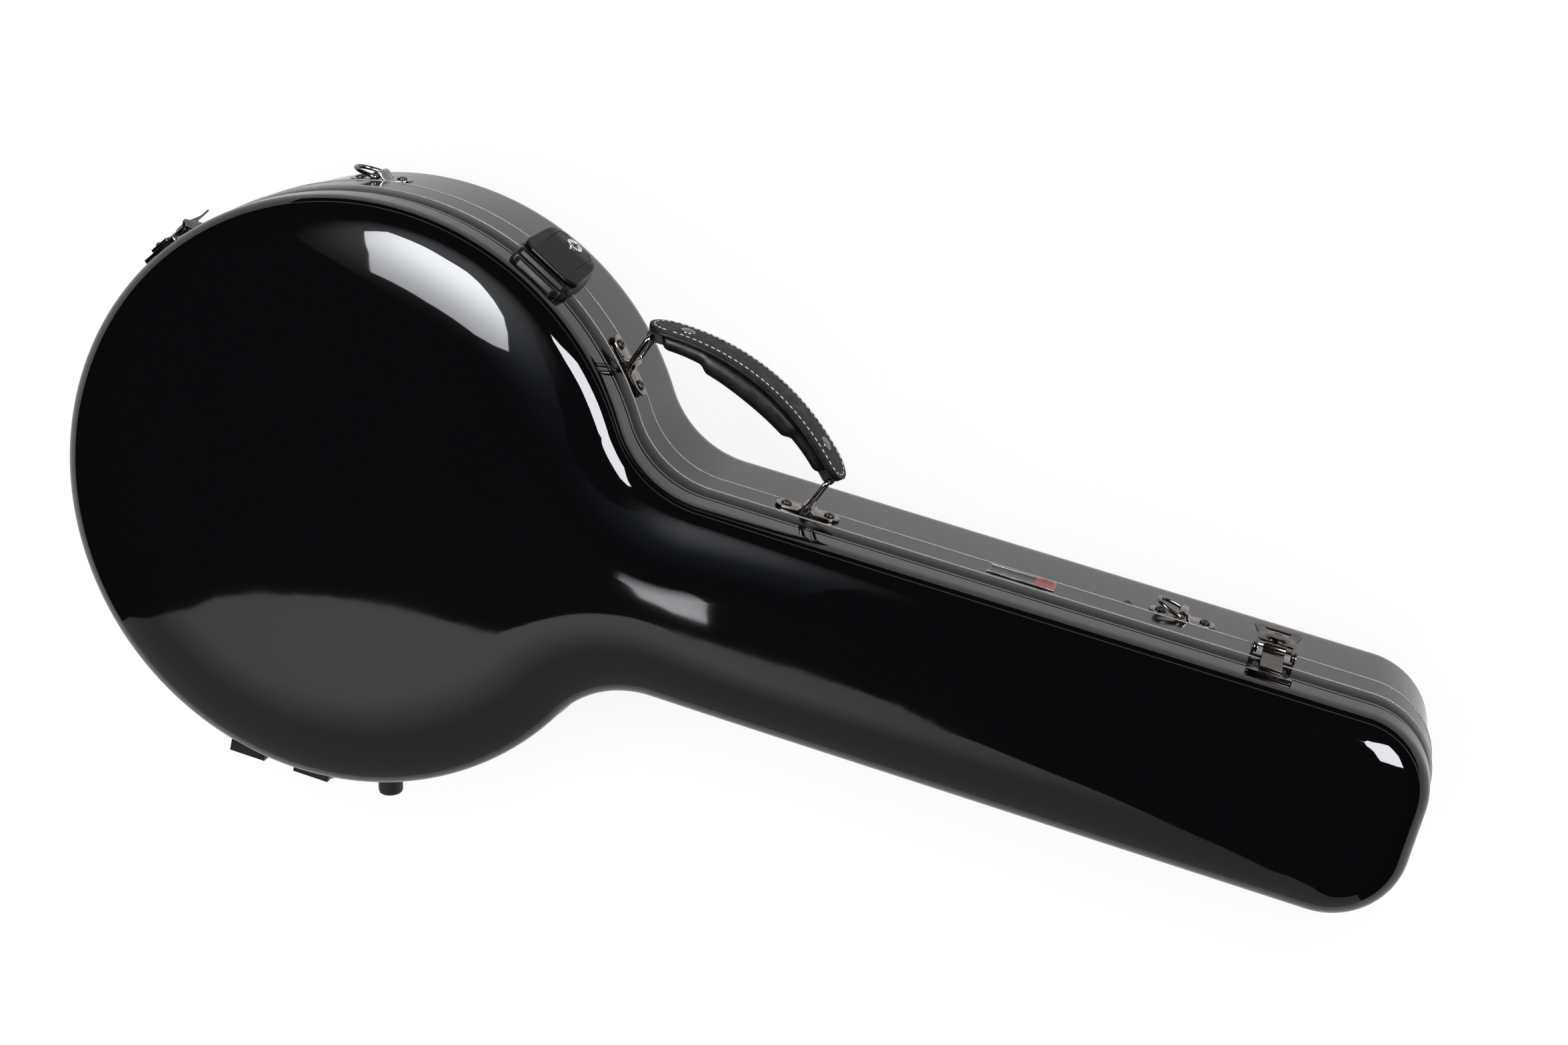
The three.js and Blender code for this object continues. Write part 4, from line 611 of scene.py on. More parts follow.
    @staticmethod
    def dress(piece: Piece, finish: Finish, body: Body) -> Piece:
        """Gives a piece its finish and its body, and reports it.

        Args:
            piece: the finished object.
            finish: what it is dressed in.
            body: what it rides on.

        Returns:
            The same piece.
        """
        if not piece.data.materials:
            piece.data.materials.append(finish.make())
        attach(piece, body.value)
        log.info("%s: %d faces, rides on %s", piece.name, len(piece.data.polygons), body.value)
        return piece

    @staticmethod
    def refine(node: str, suffix: str, bevel: float, finish: Finish, body: Body) -> Piece:
        """A finer copy of a solid of the frame, dressed: from_frame and then dress."""
        return Bench.dress(Bench.from_frame(node, suffix, bevel), finish, body)

    @staticmethod
    def finish(
        piece: Piece, degrees: float, finish: Finish, body: Body, *nodes: str, place: Matrix | None = None
    ) -> Piece:
        """Smooths a piece, moves it to its place, lets it stand for solids of the frame and dresses it.

        Args:
            piece: the modelled object.
            degrees: the angle of a sharp edge.
            finish: what it is dressed in.
            body: what it rides on.
            *nodes: the solids that it replaces.
            place: where its mesh goes, or None if it is there already.

        Returns:
            The same piece.
        """
        Bench.smooth(piece, degrees)
        if place is not None:
            Bench.put(piece, place)
        if nodes:
            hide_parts(*nodes)
        return Bench.dress(piece, finish, body)


# ---------------------------------------------------------------- the case's plan


@dataclass
class CasePlan:
    """The outline of the case: a round pot, a straight neck and hollow throats between them."""

    pot_radius: float = 0.2025
    neck_half: float = 0.069
    neck_end: float = 0.7225
    corner: float = 0.051
    throat: float = 0.067
    pot_steps: int = 150
    throat_steps: int = 30
    corner_steps: int = 20
    side_steps: int = 18
    rim: list[tuple[Vector, Vector]] = field(default_factory=list)

    def __post_init__(self) -> None:
        """Walks round the outline once and keeps each point with its outward direction."""
        throat_y = self.neck_half + self.throat
        throat_x = math.sqrt((self.pot_radius + self.throat) ** 2 - throat_y**2)
        turn = math.atan2(throat_y, throat_x)
        corner_x, corner_y = self.neck_end - self.corner, self.neck_half - self.corner
        half = math.pi / 2
        self._arc(corner_x, corner_y, self.corner, 0, half, self.corner_steps)
        self._side(corner_x, throat_x, self.neck_half)
        self._arc(throat_x, throat_y, -self.throat, -half, turn - math.pi, self.throat_steps)
        self.rim.pop()
        self._arc(0, 0, self.pot_radius, turn, 2 * math.pi - turn, self.pot_steps)
        self.rim.pop()
        self._arc(throat_x, -throat_y, -self.throat, math.pi - turn, half, self.throat_steps)
        self._side(throat_x, corner_x, -self.neck_half)
        self._arc(corner_x, -corner_y, self.corner, -half, 0, self.corner_steps)

    def _arc(self, x: float, y: float, radius: float, start: float, end: float, steps: int) -> None:
        """Adds an arc; a radius below zero is a hollow one."""
        for i in range(steps + 1):
            angle = start + (end - start) * i / steps
            spoke = Vector((math.cos(angle), math.sin(angle), 0))
            out = spoke if radius > 0 else -spoke
            self.rim.append((Vector((x, y, 0)) + spoke * abs(radius), out))

    def _side(self, start: float, end: float, y: float) -> None:
        """Adds the points of a straight side, without its ends."""
        for i in range(1, self.side_steps):
            x = start + (end - start) * i / self.side_steps
            self.rim.append((Vector((x, y, 0)), Vector((0, math.copysign(1, y), 0))))

    def ring(self, inset: float, z: float) -> Ring:
        """The outline drawn at a depth inside the widest line, at a height."""
        return [p - out * inset + Vector((0, 0, z)) for p, out in self.rim]

    def loft(self, name: str, stations: Stations, closed: bool = False) -> Piece:
        """Lofts a skin along the outline, through stations of an inset and a height."""
        return Bench.loft(name, [self.ring(*station) for station in stations], closed)

    def shaped_ring(self, place: Callable[[Vector], tuple[float, float]]) -> Ring:
        """The outline with an inset and a height of its own at each point."""
        made = []
        for p, out in self.rim:
            inset, z = place(p)
            made.append(p - out * inset + Vector((0, 0, z)))
        return made

    def on_pot(self, degrees: float) -> Matrix:
        """The frame of a fitting on the pot: X along the wall, Y out of it, Z up."""
        angle = math.radians(degrees)
        seat = Vector((math.cos(angle), math.sin(angle), 0)) * self.pot_radius
        return Matrix.Translation(seat) @ Matrix.Rotation(angle - math.pi / 2, 4, "Z")

    def on_neck(self, x: float) -> Matrix:
        """The frame of a fitting on the neck's upper side."""
        return Matrix.Translation((x, self.neck_half, 0))


# Side-fitting frame with the turning axis pointing out of the wall
OUTWARD = Matrix(((1, 0, 0, 0), (0, 0, 1, 0), (0, -1, 0, 0), (0, 0, 0, 1)))


def quarter(base: float, radius: float, flat: float, direction: int, steps: int = 14) -> Stations:
    """Insets and heights of a rounded edge, from the flat face to the wall."""
    made = []
    for i in range(steps + 1):
        angle = math.pi / 2 * i / steps
        height = flat + direction * radius * (1 - math.cos(angle))
        made.append((base + radius * (1 - math.sin(angle)), height))
    return made


def smooth_step(value: float) -> float:
    """Eases a share between 0 and 1, and holds it beyond."""
    share = min(1, max(0, value))
    return share * share * (3 - 2 * share)


# ---------------------------------------------------------------- shells, band and linings


@dataclass
class RearShell:
    """The moulded tub behind the band."""

    plan: CasePlan
    inset: float = 0.002
    wall: float = 0.003
    edge: float = 0.030
    rim_z: float = 0.126

    def build(self) -> None:
        """Lofts the outside, the rim and the inside as one skin."""
        inner = self.inset + self.wall
        stations = [
            *quarter(self.inset, self.edge, 0, 1),
            (self.inset, self.rim_z),
            (inner, self.rim_z),
            *reversed(quarter(inner, self.edge - self.wall, self.wall, 1)),
        ]
        shell = self.plan.loft("rear_shell_skin", stations)
        Bench.finish(shell, 32, Finishes.SHELL, Body.BASE, "rear_shell")


@dataclass
class RimBand:
    """The band round the rim: a flat strip between two raised lines, then a rounded bead."""

    plan: CasePlan
    base_z: float = 0.084
    strip: float = 0.026
    bead: float = 0.0194
    line_proud: float = 0.0005
    line_height: float = 0.0014
    bead_drop: float = 0.0045
    back_inset: float = 0.0017
    lip_inset: float = 0.0076
    lip_z: float = 0.1263

    def _line(self, z: float) -> Stations:
        """Stations over a raised line with rounded shoulders."""
        made = []
        for i in range(7):
            angle = math.pi * i / 6
            proud = self.line_proud * math.sin(angle) ** 0.6
            made.append((-proud, z + self.line_height * (1 - math.cos(angle)) / 2))
        return made

    def build(self) -> None:
        """Lofts the closed section of the band along the outline."""
        top = self.base_z + self.strip
        stations = [
            (self.back_inset, self.base_z), *self._line(self.base_z), (0, top - 0.0003), *self._line(top)
        ]
        rise = self.bead - self.line_height
        for i in range(1, 15):
            share = i / 14
            stations.append((self.bead_drop * share**2, top + self.line_height + rise * share**0.8))
        crest = top + self.bead
        stations += [(self.lip_inset, crest), (self.lip_inset, self.lip_z), (self.back_inset, self.lip_z)]
        band = self.plan.loft("rim_band_skin", stations, closed=True)
        for finish in (Finishes.BAND, Finishes.BEAD, Finishes.LINE_PAINTED_HIGHLIGHT):
            band.data.materials.append(finish.make())
        for face in band.data.polygons:
            over_base, over_top = face.center.z - self.base_z, face.center.z - top
            on_line = 0 < over_base < self.line_height or 0 < over_top < self.line_height
            # Faces on the raised lines get the pale grey finish, a painted highlight; the rest get the band's
            # black
            face.material_index = 2 if on_line else int(over_top > 0)
        Bench.finish(band, 40, Finishes.BAND, Body.BASE, "rim_band")


@dataclass
class LidShell:
    """The lid: a short wall that rolls into a broad, softly crowned face."""

    plan: CasePlan
    inset: float = 0.001
    wall: float = 0.003
    base_z: float = 0.130
    edge_z: float = 0.142
    rise: float = 0.027
    neck_reach: float = 0.049
    pot_reach: float = 0.074
    narrows_at: float = 0.120
    narrows_over: float = 0.190
    fullness: float = 2.35

    def _reach(self, x: float) -> float:
        """How far in the crown runs before the face is flat: further on the pot than on the neck."""
        eased = smooth_step((x - self.narrows_at) / self.narrows_over)
        return self.pot_reach + (self.neck_reach - self.pot_reach) * eased

    def crown(self, share: float, lower: float) -> Callable[[Vector], tuple[float, float]]:
        """Inset and height at a share of the way from the flat face to the wall."""
        angle = math.pi / 2 * share
        power = 2 / self.fullness

        def place(point: Vector) -> tuple[float, float]:
            """The crown's section at one point of the outline."""
            reach = self._reach(point.x) - lower
            inset = reach * (1 - math.sin(angle) ** power)
            height = (self.rise - lower) * math.cos(angle) ** power
            return self.inset + lower + inset, self.edge_z + height

        return place

    def build(self) -> None:
        """Lofts the face, the wall and the inside as one skin."""
        shares = [i / 30 for i in range(31)]
        rings = [self.plan.shaped_ring(self.crown(s, 0)) for s in shares]
        rings.append(self.plan.ring(self.inset, self.base_z))
        rings.append(self.plan.ring(self.inset + self.wall, self.base_z))
        rings += [self.plan.shaped_ring(self.crown(s, self.wall)) for s in reversed(shares[::3])]
        Bench.finish(Bench.loft("lid_shell_skin", rings), 32, Finishes.SHELL, Body.LID, "lid_shell")


@dataclass
class SealAndRim:
    """The rubber seal on the band and the locating rim inside the lid, as insets and heights."""

    plan: CasePlan
    seal: Stations = (
        (0.0048, 0.1294), (0.0048, 0.1299), (0.0053, 0.130), (0.0067, 0.130), (0.0072, 0.1299),
        (0.0072, 0.1294),
    )
    rim: Stations = (
        (0.0084, 0.1244), (0.0080, 0.1252), (0.0080, 0.1303), (0.0043, 0.1303), (0.0043, 0.140),
        (0.0098, 0.140), (0.0098, 0.1252), (0.0094, 0.1244),
    )

    def build(self) -> None:
        """Lofts both closed sections along the outline."""
        seal = self.plan.loft("rim_seal_cord", self.seal, closed=True)
        Bench.finish(seal, 32, Finishes.SEAL, Body.BASE, "rim_seal")
        rim = self.plan.loft("locating_rim_skin", self.rim, closed=True)
        Bench.finish(rim, 32, Finishes.BAND, Body.LID, "locating_rim")


@dataclass
class Linings:
    """The plush inside: base and lid linings, the neck cradle and the peghead pad."""

    plan: CasePlan
    lid: LidShell
    clearance: float = 0.0004
    outer: float = 0.0053
    outer_edge: float = 0.0267
    outer_floor: float = 0.0033
    inner: float = 0.0193
    inner_edge: float = 0.0147
    piping: float = 0.0013
    floor_z: float = 0.0153
    base_top: float = 0.121
    lid_outer: float = 0.0101
    lid_inner: float = 0.0191
    lid_low: float = 0.135
    lid_lip: float = 0.003
    lid_under: float = 0.1527
    lid_edge: float = 0.007
    shrink: float = 0.0016
    pad_voxel: float = 0.005

    @staticmethod
    def _lip(outer: float, inner: float, low: float, high: float) -> Stations:
        """Stations over a rounded, padded edge."""
        half = (inner - outer) / 2
        turn = [math.pi * i / 12 for i in range(13)]
        return [(outer + half * (1 - math.cos(a)), low + (high - low) * math.sin(a)) for a in turn]

    def _base(self) -> None:
        """The base lining, with a piped seam along its top edge."""
        shoulder = self.base_top - (self.inner - self.outer) / 3
        stations = [
            *quarter(self.outer, self.outer_edge, self.outer_floor, 1, 8),
            *self._lip(self.outer, self.inner, shoulder, self.base_top),
            *reversed(quarter(self.inner, self.inner_edge, self.floor_z, 1, 8)),
        ]
        lining = self.plan.loft("base_lining_plush", stations)
        Bench.finish(lining, 60, Finishes.PLUSH, Body.BASE, "base_floor_lining", "base_side_lining")
        seam = self.plan.ring(self.inner + 0.0006, shoulder - 0.002)
        Bench.dress(Bench.wire("base_lining_piping", seam, self.piping), Finishes.RIBBON, Body.BASE)

    def _lid(self) -> None:
        """The lid lining, which follows the lid's inside."""
        lower = self.lid.wall + self.clearance
        rings = [self.plan.shaped_ring(self.lid.crown(i / 8, lower)) for i in range(7)]
        stations = [
            (self.lid_outer, self.lid.edge_z),
            *self._lip(self.lid_outer, self.lid_inner, self.lid_low + self.lid_lip, self.lid_low),
            *reversed(quarter(self.lid_inner, self.lid_edge, self.lid_under, -1, 6)),
        ]
        rings += [self.plan.ring(*station) for station in stations]
        lining = Bench.loft("lid_lining_plush", rings)
        Bench.finish(lining, 60, Finishes.PLUSH, Body.LID, "lid_face_lining", "lid_side_lining")

    @staticmethod
    def _swell(piece: Piece, cap: float) -> None:
        """Swells a pad with the cloth simulation and keeps every point near its start.

        Args:
            piece: a closed pad.
            cap: the furthest that a point may move, in metres.
        """
        Bench.take(piece)
        bpy.ops.object.modifier_add(type="CLOTH")
        cloth = piece.modifiers[-1]
        cloth.settings.use_pressure = True
        cloth.settings.uniform_pressure_force = 4
        cloth.settings.effector_weights.gravity = 0
        cloth.point_cache.frame_end = 20
        rest = [v.co.copy() for v in piece.data.vertices]
        for step in range(1, 21):
            bpy.context.scene.frame_set(step)
        bpy.ops.object.modifier_apply(modifier=cloth.name)
        bpy.context.scene.frame_set(1)
        for point, home in zip(piece.data.vertices, rest):
            moved = point.co - home
            if moved.length > cap:
                point.co = home + moved * (cap / moved.length)

    def _pads(self) -> None:
        """The neck cradle and the peghead pad, remeshed, swollen and softened."""
        for node, fill in (("neck_cradle", 0.8), ("peghead_pad", 0.7)):
            pad = Bench.from_frame(node, "plush", 0)
            low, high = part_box(node)
            middle, half = (low + high) / 2, (high - low) / 2
            for point in pad.data.vertices:
                for axis in range(3):
                    away = point.co[axis] - middle[axis]
                    point.co[axis] = middle[axis] + away * (1 - self.shrink / half[axis])
            Bench.apply(pad, "REMESH", mode="VOXEL", voxel_size=self.pad_voxel)
            Bench.apply(pad, "SMOOTH", factor=0.5, iterations=3)
            self._swell(pad, self.shrink)
            Bench.apply(pad, "SUBSURF", levels=1)
            Bench.smooth(pad, 80)
            Bench.dress(pad, Finishes.PLUSH, Body.BASE)

    def build(self) -> None:
        """Builds every plush piece."""
        self._base()
        self._lid()
        self._pads()


@dataclass
class Compartment:
    """The accessory box under the neck, its hinged lid and its pull tab."""

    def build(self) -> None:
        """Covers the box and its lid in plush, and weaves the tab."""
        for node, suffix, bevel, finish, body in (
            ("compartment_box", "plush", 0.0008, Finishes.PLUSH, Body.BASE),
            ("compartment_lid", "plush", 0.0008, Finishes.PLUSH, Body.BOX_LID),
            ("compartment_tab", "ribbon", 0.0005, Finishes.RIBBON, Body.BOX_LID),
        ):
            Bench.refine(node, suffix, bevel, finish, body)


# ---------------------------------------------------------------- fittings


@dataclass
class Fasteners:
    """Pan head screws with a cross recess, modelled once and copied to every place."""

    plan: CasePlan
    head_radius: float = 0.0036
    head_height: float = 0.0017
    shank_radius: float = 0.0018
    shank_length: float = 0.0018
    recess: float = 0.0008
    plate_place: float = 0.0148
    on_handle_plate: float = 0.0021
    on_strap_plate: float = 0.0001
    pattern: Piece | None = None

    def _pattern(self) -> Piece:
        """One screw: a domed, turned head with a cross cut into it, on a short neck."""
        r, h, shank, low = self.head_radius, self.head_height, self.shank_radius, -self.shank_length
        turn = [math.pi / 2 * i / 8 for i in range(8)]
        dome = [(r * math.cos(a), h * (0.35 + 0.65 * math.sin(a))) for a in turn]
        neck = [(0, low), (shank, low), (shank, 0), (r * 0.96, 0), (r, h * 0.12)]
        screw = Bench.turn("screw_pattern", [*neck, *dome, (0, h)], 40)
        for angle in (0, math.pi / 2):
            Bench.clear()
            bpy.ops.mesh.primitive_cube_add(size=1, location=(0, 0, h))
            blade = Bench.named("recess_blade")
            size = Matrix.Diagonal((r * 1.25, r * 0.26, self.recess * 2, 1))
            Bench.put(blade, Matrix.Rotation(angle, 4, "Z") @ size)
            Bench.cut(screw, blade)
        return Bench.smooth(screw, 36)

    def _one(self, name: str, place: Matrix, x: float, z: float, seat: float, turn: float) -> None:
        """Sets a copy of the screw at a place of a fitting's frame."""
        spin = Matrix.Rotation(math.radians(turn), 4, "Z")
        at = place @ Matrix.Translation((x, seat, z)) @ OUTWARD @ spin
        screw = Bench.copy(self.pattern, f"{name}_head", at)
        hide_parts(name)
        Bench.dress(screw, Finishes.SCREW, Body.BASE)

    def build(self) -> None:
        """Copies the screw to both screws of every plate and to the shell."""
        self.pattern = self._pattern()
        plates = [
            ("handle_pot", self.plan.on_pot(HANDLE_ON_POT), self.on_handle_plate, HANDLE_Z),
            ("handle_neck", self.plan.on_neck(HANDLE_ON_NECK), self.on_handle_plate, HANDLE_Z),
            ("strap_pot", self.plan.on_pot(STRAP_ON_POT), self.on_strap_plate, STRAP_Z),
            ("strap_neck", self.plan.on_neck(STRAP_ON_NECK), self.on_strap_plate, STRAP_Z),
        ]
        for i, (label, place, seat, z) in enumerate(plates):
            self._one(f"{label}_screw_1", place, -self.plate_place, z, seat, 20 + 31 * i)
            self._one(f"{label}_screw_2", place, self.plate_place, z, seat, 65 + 47 * i)
        in_shell = self.plan.on_neck(SHELL_SCREW_ON_NECK)
        self._one("shell_screw", in_shell, 0, SHELL_SCREW_Z, SHELL_SCREW_SEAT, 12)
        bpy.data.objects.remove(self.pattern, do_unlink=True)


@dataclass
class StrapFittings:
    """The two strap plates with their D rings."""

    plan: CasePlan
    bar: float = 0.019
    reach: float = 0.018
    wire: float = 0.0015
    lift: float = 16.0
    pivot_out: float = 0.002

    def _path(self) -> Ring:
        """The wire's centre line: a straight bar and a round bow."""
        half, start = self.bar / 2, self.wire / 2
        bow = []
        for i in range(41):
            angle = math.pi * i / 40
            out = start + (self.reach - start) * math.sin(angle) ** 0.8
            bow.append(Vector((-out, 0, half * math.cos(angle))))
        bar = [Vector((0, 0, half * 0.8 * t)) for t in (-1, -0.5, 0, 0.5, 1)]
        return [*bar, *bow]

    def build(self) -> None:
        """Builds both plates and both rings."""
        for label, place, body in (
            ("strap_pot", self.plan.on_pot(STRAP_ON_POT), Body.RING_POT),
            ("strap_neck", self.plan.on_neck(STRAP_ON_NECK), Body.RING_NECK),
        ):
            Bench.refine(f"{label}_plate", "sheet", PLATE_EASE, Finishes.NICKEL, Body.BASE)
            ring = Bench.wire(f"{label}_ring_wire", self._path(), self.wire)
            lean = Matrix.Rotation(-math.radians(self.lift), 4, "Z")
            Bench.put(ring, place @ Matrix.Translation((0, self.pivot_out, STRAP_Z)) @ lean)
            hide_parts(f"{label}_ring")
            Bench.dress(ring, Finishes.NICKEL, body)


@dataclass
class CarryingHandle:
    """The handle: two wire loops, a stitched leather strap over a padded roll, and two rivets."""

    plan: CasePlan
    bar_lift: float = 0.004
    loop_degrees: float = 67.4
    loop_length: float = 0.026
    loop_width: float = 0.026
    loop_corner: float = 0.004
    wire: float = 0.0018
    width: float = 0.030
    thick: float = 0.0045
    crown: float = 0.0004
    end_out: float = 0.0032
    bow: float = 0.018
    overhang: float = 0.005
    roll_depth: float = 0.018
    roll_width: float = 0.019
    roll_gap: float = 0.0045
    roll_slim: float = 0.64
    roll_belly: float = 0.16
    roll_covered: float = 0.2
    rivet_place: float = 0.018
    end_share: float = 0.46
    eye_radius: float = 0.0036
    eye_half: float = 0.0085
    eye_chamfer: float = 0.0005
    eye_tail: Stations = ((0.003, -0.0033), (0.0088, -0.0008), (0.0088, 0.0014), (0.004, 0.0054))
    stitch_pitch: float = 0.0041
    stitch_trim: float = 0.0026

    def __post_init__(self) -> None:
        """Works out the bars, the chord and the grip's frame."""
        angle = math.radians(HANDLE_ON_POT)
        reach = self.plan.pot_radius + self.bar_lift
        self.pot_bar = Vector((reach * math.cos(angle), reach * math.sin(angle), HANDLE_Z))
        self.neck_bar = Vector((HANDLE_ON_NECK, self.plan.neck_half + self.bar_lift, HANDLE_Z))
        chord = self.neck_bar - self.pot_bar
        self.chord = chord.length
        lean = math.radians(self.loop_degrees)
        start = self.pot_bar + Vector((math.cos(lean), math.sin(lean), 0)) * self.loop_length
        self.grip = Matrix.Translation(start) @ Matrix.Rotation(math.atan2(chord.y, chord.x), 4, "Z")

    def _under(self, x: float) -> float:
        """Height of the strap's underside over the chord."""
        share = 2 * x / self.chord - 1
        return self.end_out + self.bow * (1 - share * share)

    def _slope(self, x: float) -> float:
        """Slope of the strap at a place along the chord."""
        return math.atan(4 * self.bow * (1 - 2 * x / self.chord) / self.chord)

    def _on_strap(self, x: float, out: float, z: float) -> Vector:
        """A point at a height square to the strap's underside."""
        tilt = self._slope(x)
        return Vector((x - out * math.sin(tilt), self._under(x) + out * math.cos(tilt), z))

    def _half_width(self, x: float) -> float:
        """Half the strap's width, with its nearly round ends."""
        low, high = -self.overhang, self.chord + self.overhang
        radius = self.width * self.end_share
        near = min(x - low, high - x)
        if near >= radius:
            return self.width / 2
        straight = self.width / 2 - radius
        return straight + math.sqrt(max(0, radius**2 - (radius - near) ** 2))

    def _loops(self) -> None:
        """Both wire loops, from their bars to the strap's eyes."""
        half, corner = self.loop_width / 2, self.loop_corner
        path = []
        for x, z, start in (
            (corner, half - corner, 0.5),
            (corner, corner - half, 1.0),
            (self.loop_length - corner, corner - half, 1.5),
            (self.loop_length - corner, half - corner, 0.0),
        ):
            for i in range(9):
                angle = math.pi * (start + i / 16)
                path.append(Vector((x + corner * math.cos(angle), 0, z + corner * math.sin(angle))))
        lean = Matrix.Rotation(math.radians(self.loop_degrees), 4, "Z")
        for label, bar, body in (
            ("pot", self.pot_bar, Body.LOOP_POT), ("neck", self.neck_bar, Body.LOOP_NECK)
        ):
            loop = Bench.wire(f"handle_loop_{label}_wire", path, self.wire)
            Bench.put(loop, Matrix.Translation(bar) @ lean)
            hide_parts(f"handle_loop_{label}")
            Bench.dress(loop, Finishes.NICKEL, body)

    def _layer(self, name: str, low: float, high: float, trim: float, edge: float) -> Piece:
        """One leather layer that follows the strap's bow, with rounded ends.

        Args:
            name: the piece's name.
            low: its underside over the strap's underside.
            high: its top over the strap's underside.
            trim: how far its edge stays inside the strap's edge.
            edge: how much its edges are rounded.

        Returns:
            The layer in the grip's frame.
        """
        Bench.clear()
        bpy.ops.mesh.primitive_grid_add(x_subdivisions=72, y_subdivisions=8, size=1)
        layer = Bench.named(name)
        start, end = -self.overhang + trim, self.chord + self.overhang - trim
        for point in layer.data.vertices:
            share = point.co.x + 0.5
            eased = 0.5 - 0.5 * math.cos(math.pi * share)
            x = start + (end - start) * (share * 0.35 + eased * 0.65)
            half = max(0.0006, self._half_width(x) - trim)
            point.co = (x, point.co.y * 2 * half, 0)
        Bench.apply(layer, "SOLIDIFY", thickness=high - low, offset=1)
        limit = math.radians(40)
        Bench.apply(layer, "BEVEL", width=edge, segments=3, limit_method="ANGLE", angle_limit=limit)
        for point in layer.data.vertices:
            x, z, out = point.co
            on_top = out > (high - low) / 2
            swell = self.crown * (1 - (z / (self.width / 2)) ** 2) if on_top else 0
            point.co = self._on_strap(x, low + out + swell, z)
        Bench.edit(layer)
        Bench.close(layer)
        return Bench.smooth(layer, 50)

    def _strap(self) -> None:
        """Two layers of leather with a groove between them, and an eye at each end."""
        upper = self._layer("handle_strap_upper", self.thick * 0.48, self.thick - 0.0003, 0, 0.0007)
        lower = self._layer("handle_strap_lower", 0, self.thick * 0.46, 0.0005, 0.0006)
        for layer in (upper, lower):
            Bench.put(layer, self.grip)
        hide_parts("handle_strap")
        Bench.dress(upper, Finishes.LEATHER, Body.GRIP)
        Bench.dress(lower, Finishes.ROLL, Body.GRIP)
        turn = [math.pi * (0.5 + i / 16) for i in range(17)]
        section = [(self.eye_radius * math.cos(a), self.eye_radius * math.sin(a)) for a in turn]
        section += self.eye_tail
        end, full = self.eye_half, self.eye_half - self.eye_chamfer
        for label, x, side in (("pot", 0.0, 1), ("neck", self.chord, -1)):
            rings = []
            for z, ease in ((-end, 0.94), (-full, 1.0), (full, 1.0), (end, 0.94)):
                rings.append([Vector((x + side * px * ease, py * ease + 0.0002, z)) for px, py in section])
            eye = Bench.loft(f"handle_strap_eye_{label}", rings)
            Bench.finish(eye, 40, Finishes.ROLL, Body.GRIP, place=self.grip)

    def _stitches(self) -> None:
        """A row of thread stitches inside the strap's edge, all round, as one piece."""
        Bench.clear()
        bpy.ops.mesh.primitive_uv_sphere_add(segments=10, ring_count=7, radius=1)
        pattern = Bench.named("stitch_pattern")
        pitch, trim = self.stitch_pitch, self.stitch_trim
        low, high = -self.overhang + trim, self.chord + self.overhang - trim
        edge, corner = self.width / 2 - trim, self.width * self.end_share - trim
        flat = [Vector((low + corner + (high - low - 2 * corner) * i / 400, edge)) for i in range(400)]
        for i in range(40):
            angle = math.pi / 2 - math.pi * i / 40
            flat.append(Vector((high - corner + corner * math.cos(angle), edge * math.sin(angle))))
        flat += [Vector((high + low - p.x, -p.y)) for p in flat]
        track: list[tuple[Vector, Vector]] = []
        travelled, last = 0.0, flat[0]
        for here, ahead in zip(flat, [*flat[1:], flat[0]]):
            travelled += (here - last).length
            last = here
            if travelled >= pitch:
                travelled -= pitch
                track.append((here, (ahead - here).normalized()))
        pieces = []
        for here, way in track:
            top = self.thick - 0.0002
            seat = self._on_strap(here.x, top, here.y)
            ahead = self._on_strap(here.x + way.x * MM, top, here.y + way.y * MM)
            along = (ahead - seat).normalized()
            out = (self._on_strap(here.x, top + MM, here.y) - seat).normalized()
            across = along.cross(out)
            turn = Matrix((along, across, out)).transposed().to_4x4()
            size = Matrix.Diagonal((pitch * 0.38, 0.00052, 0.00042, 1))
            place = Matrix.Translation(seat + out * 0.0002) @ turn @ size
            pieces.append(Bench.copy(pattern, "stitch", place))
        bpy.data.objects.remove(pattern, do_unlink=True)
        Bench.clear()
        for piece in pieces:
            piece.select_set(True)
        bpy.context.view_layer.objects.active = pieces[0]
        bpy.ops.object.join()
        thread = Bench.named("handle_strap_stitches")
        Bench.finish(thread, 70, Finishes.THREAD, Body.GRIP, place=self.grip)

    def _roll(self) -> None:
        """The padded roll under the strap, thick where it is covered twice and slim at its ends."""
        steps, sides = 60, 28
        length = self.chord - 2 * self.roll_gap
        rings = []
        for i in range(steps + 1):
            share = i / steps
            ease = smooth_step(min((share - 0.2) / 0.05, (0.8 - share) / 0.05))
            swell = self.roll_slim + self.roll_belly * math.sin(math.pi * share) ** 2
            swell += self.roll_covered * ease
            tip = min(1, math.sqrt(min(share, 1 - share) * 34))
            depth = self.roll_depth / 2 * swell * (0.72 + 0.28 * tip)
            width = self.roll_width / 2 * swell * (0.8 + 0.2 * tip)
            x = self.roll_gap + length * share
            ring = []
            for k in range(sides):
                angle = 2 * math.pi * k / sides
                out = -(depth + 0.0003) + depth * math.cos(angle)
                pleat = 1 + 0.012 * math.sin(share * 61) * math.cos(angle * 3)
                ring.append(self._on_strap(x, out, width * math.sin(angle) * pleat))
            rings.append(ring)
        roll = Bench.loft("handle_roll_leather", rings)
        Bench.finish(roll, 60, Finishes.ROLL, Body.GRIP, "handle_roll", place=self.grip)

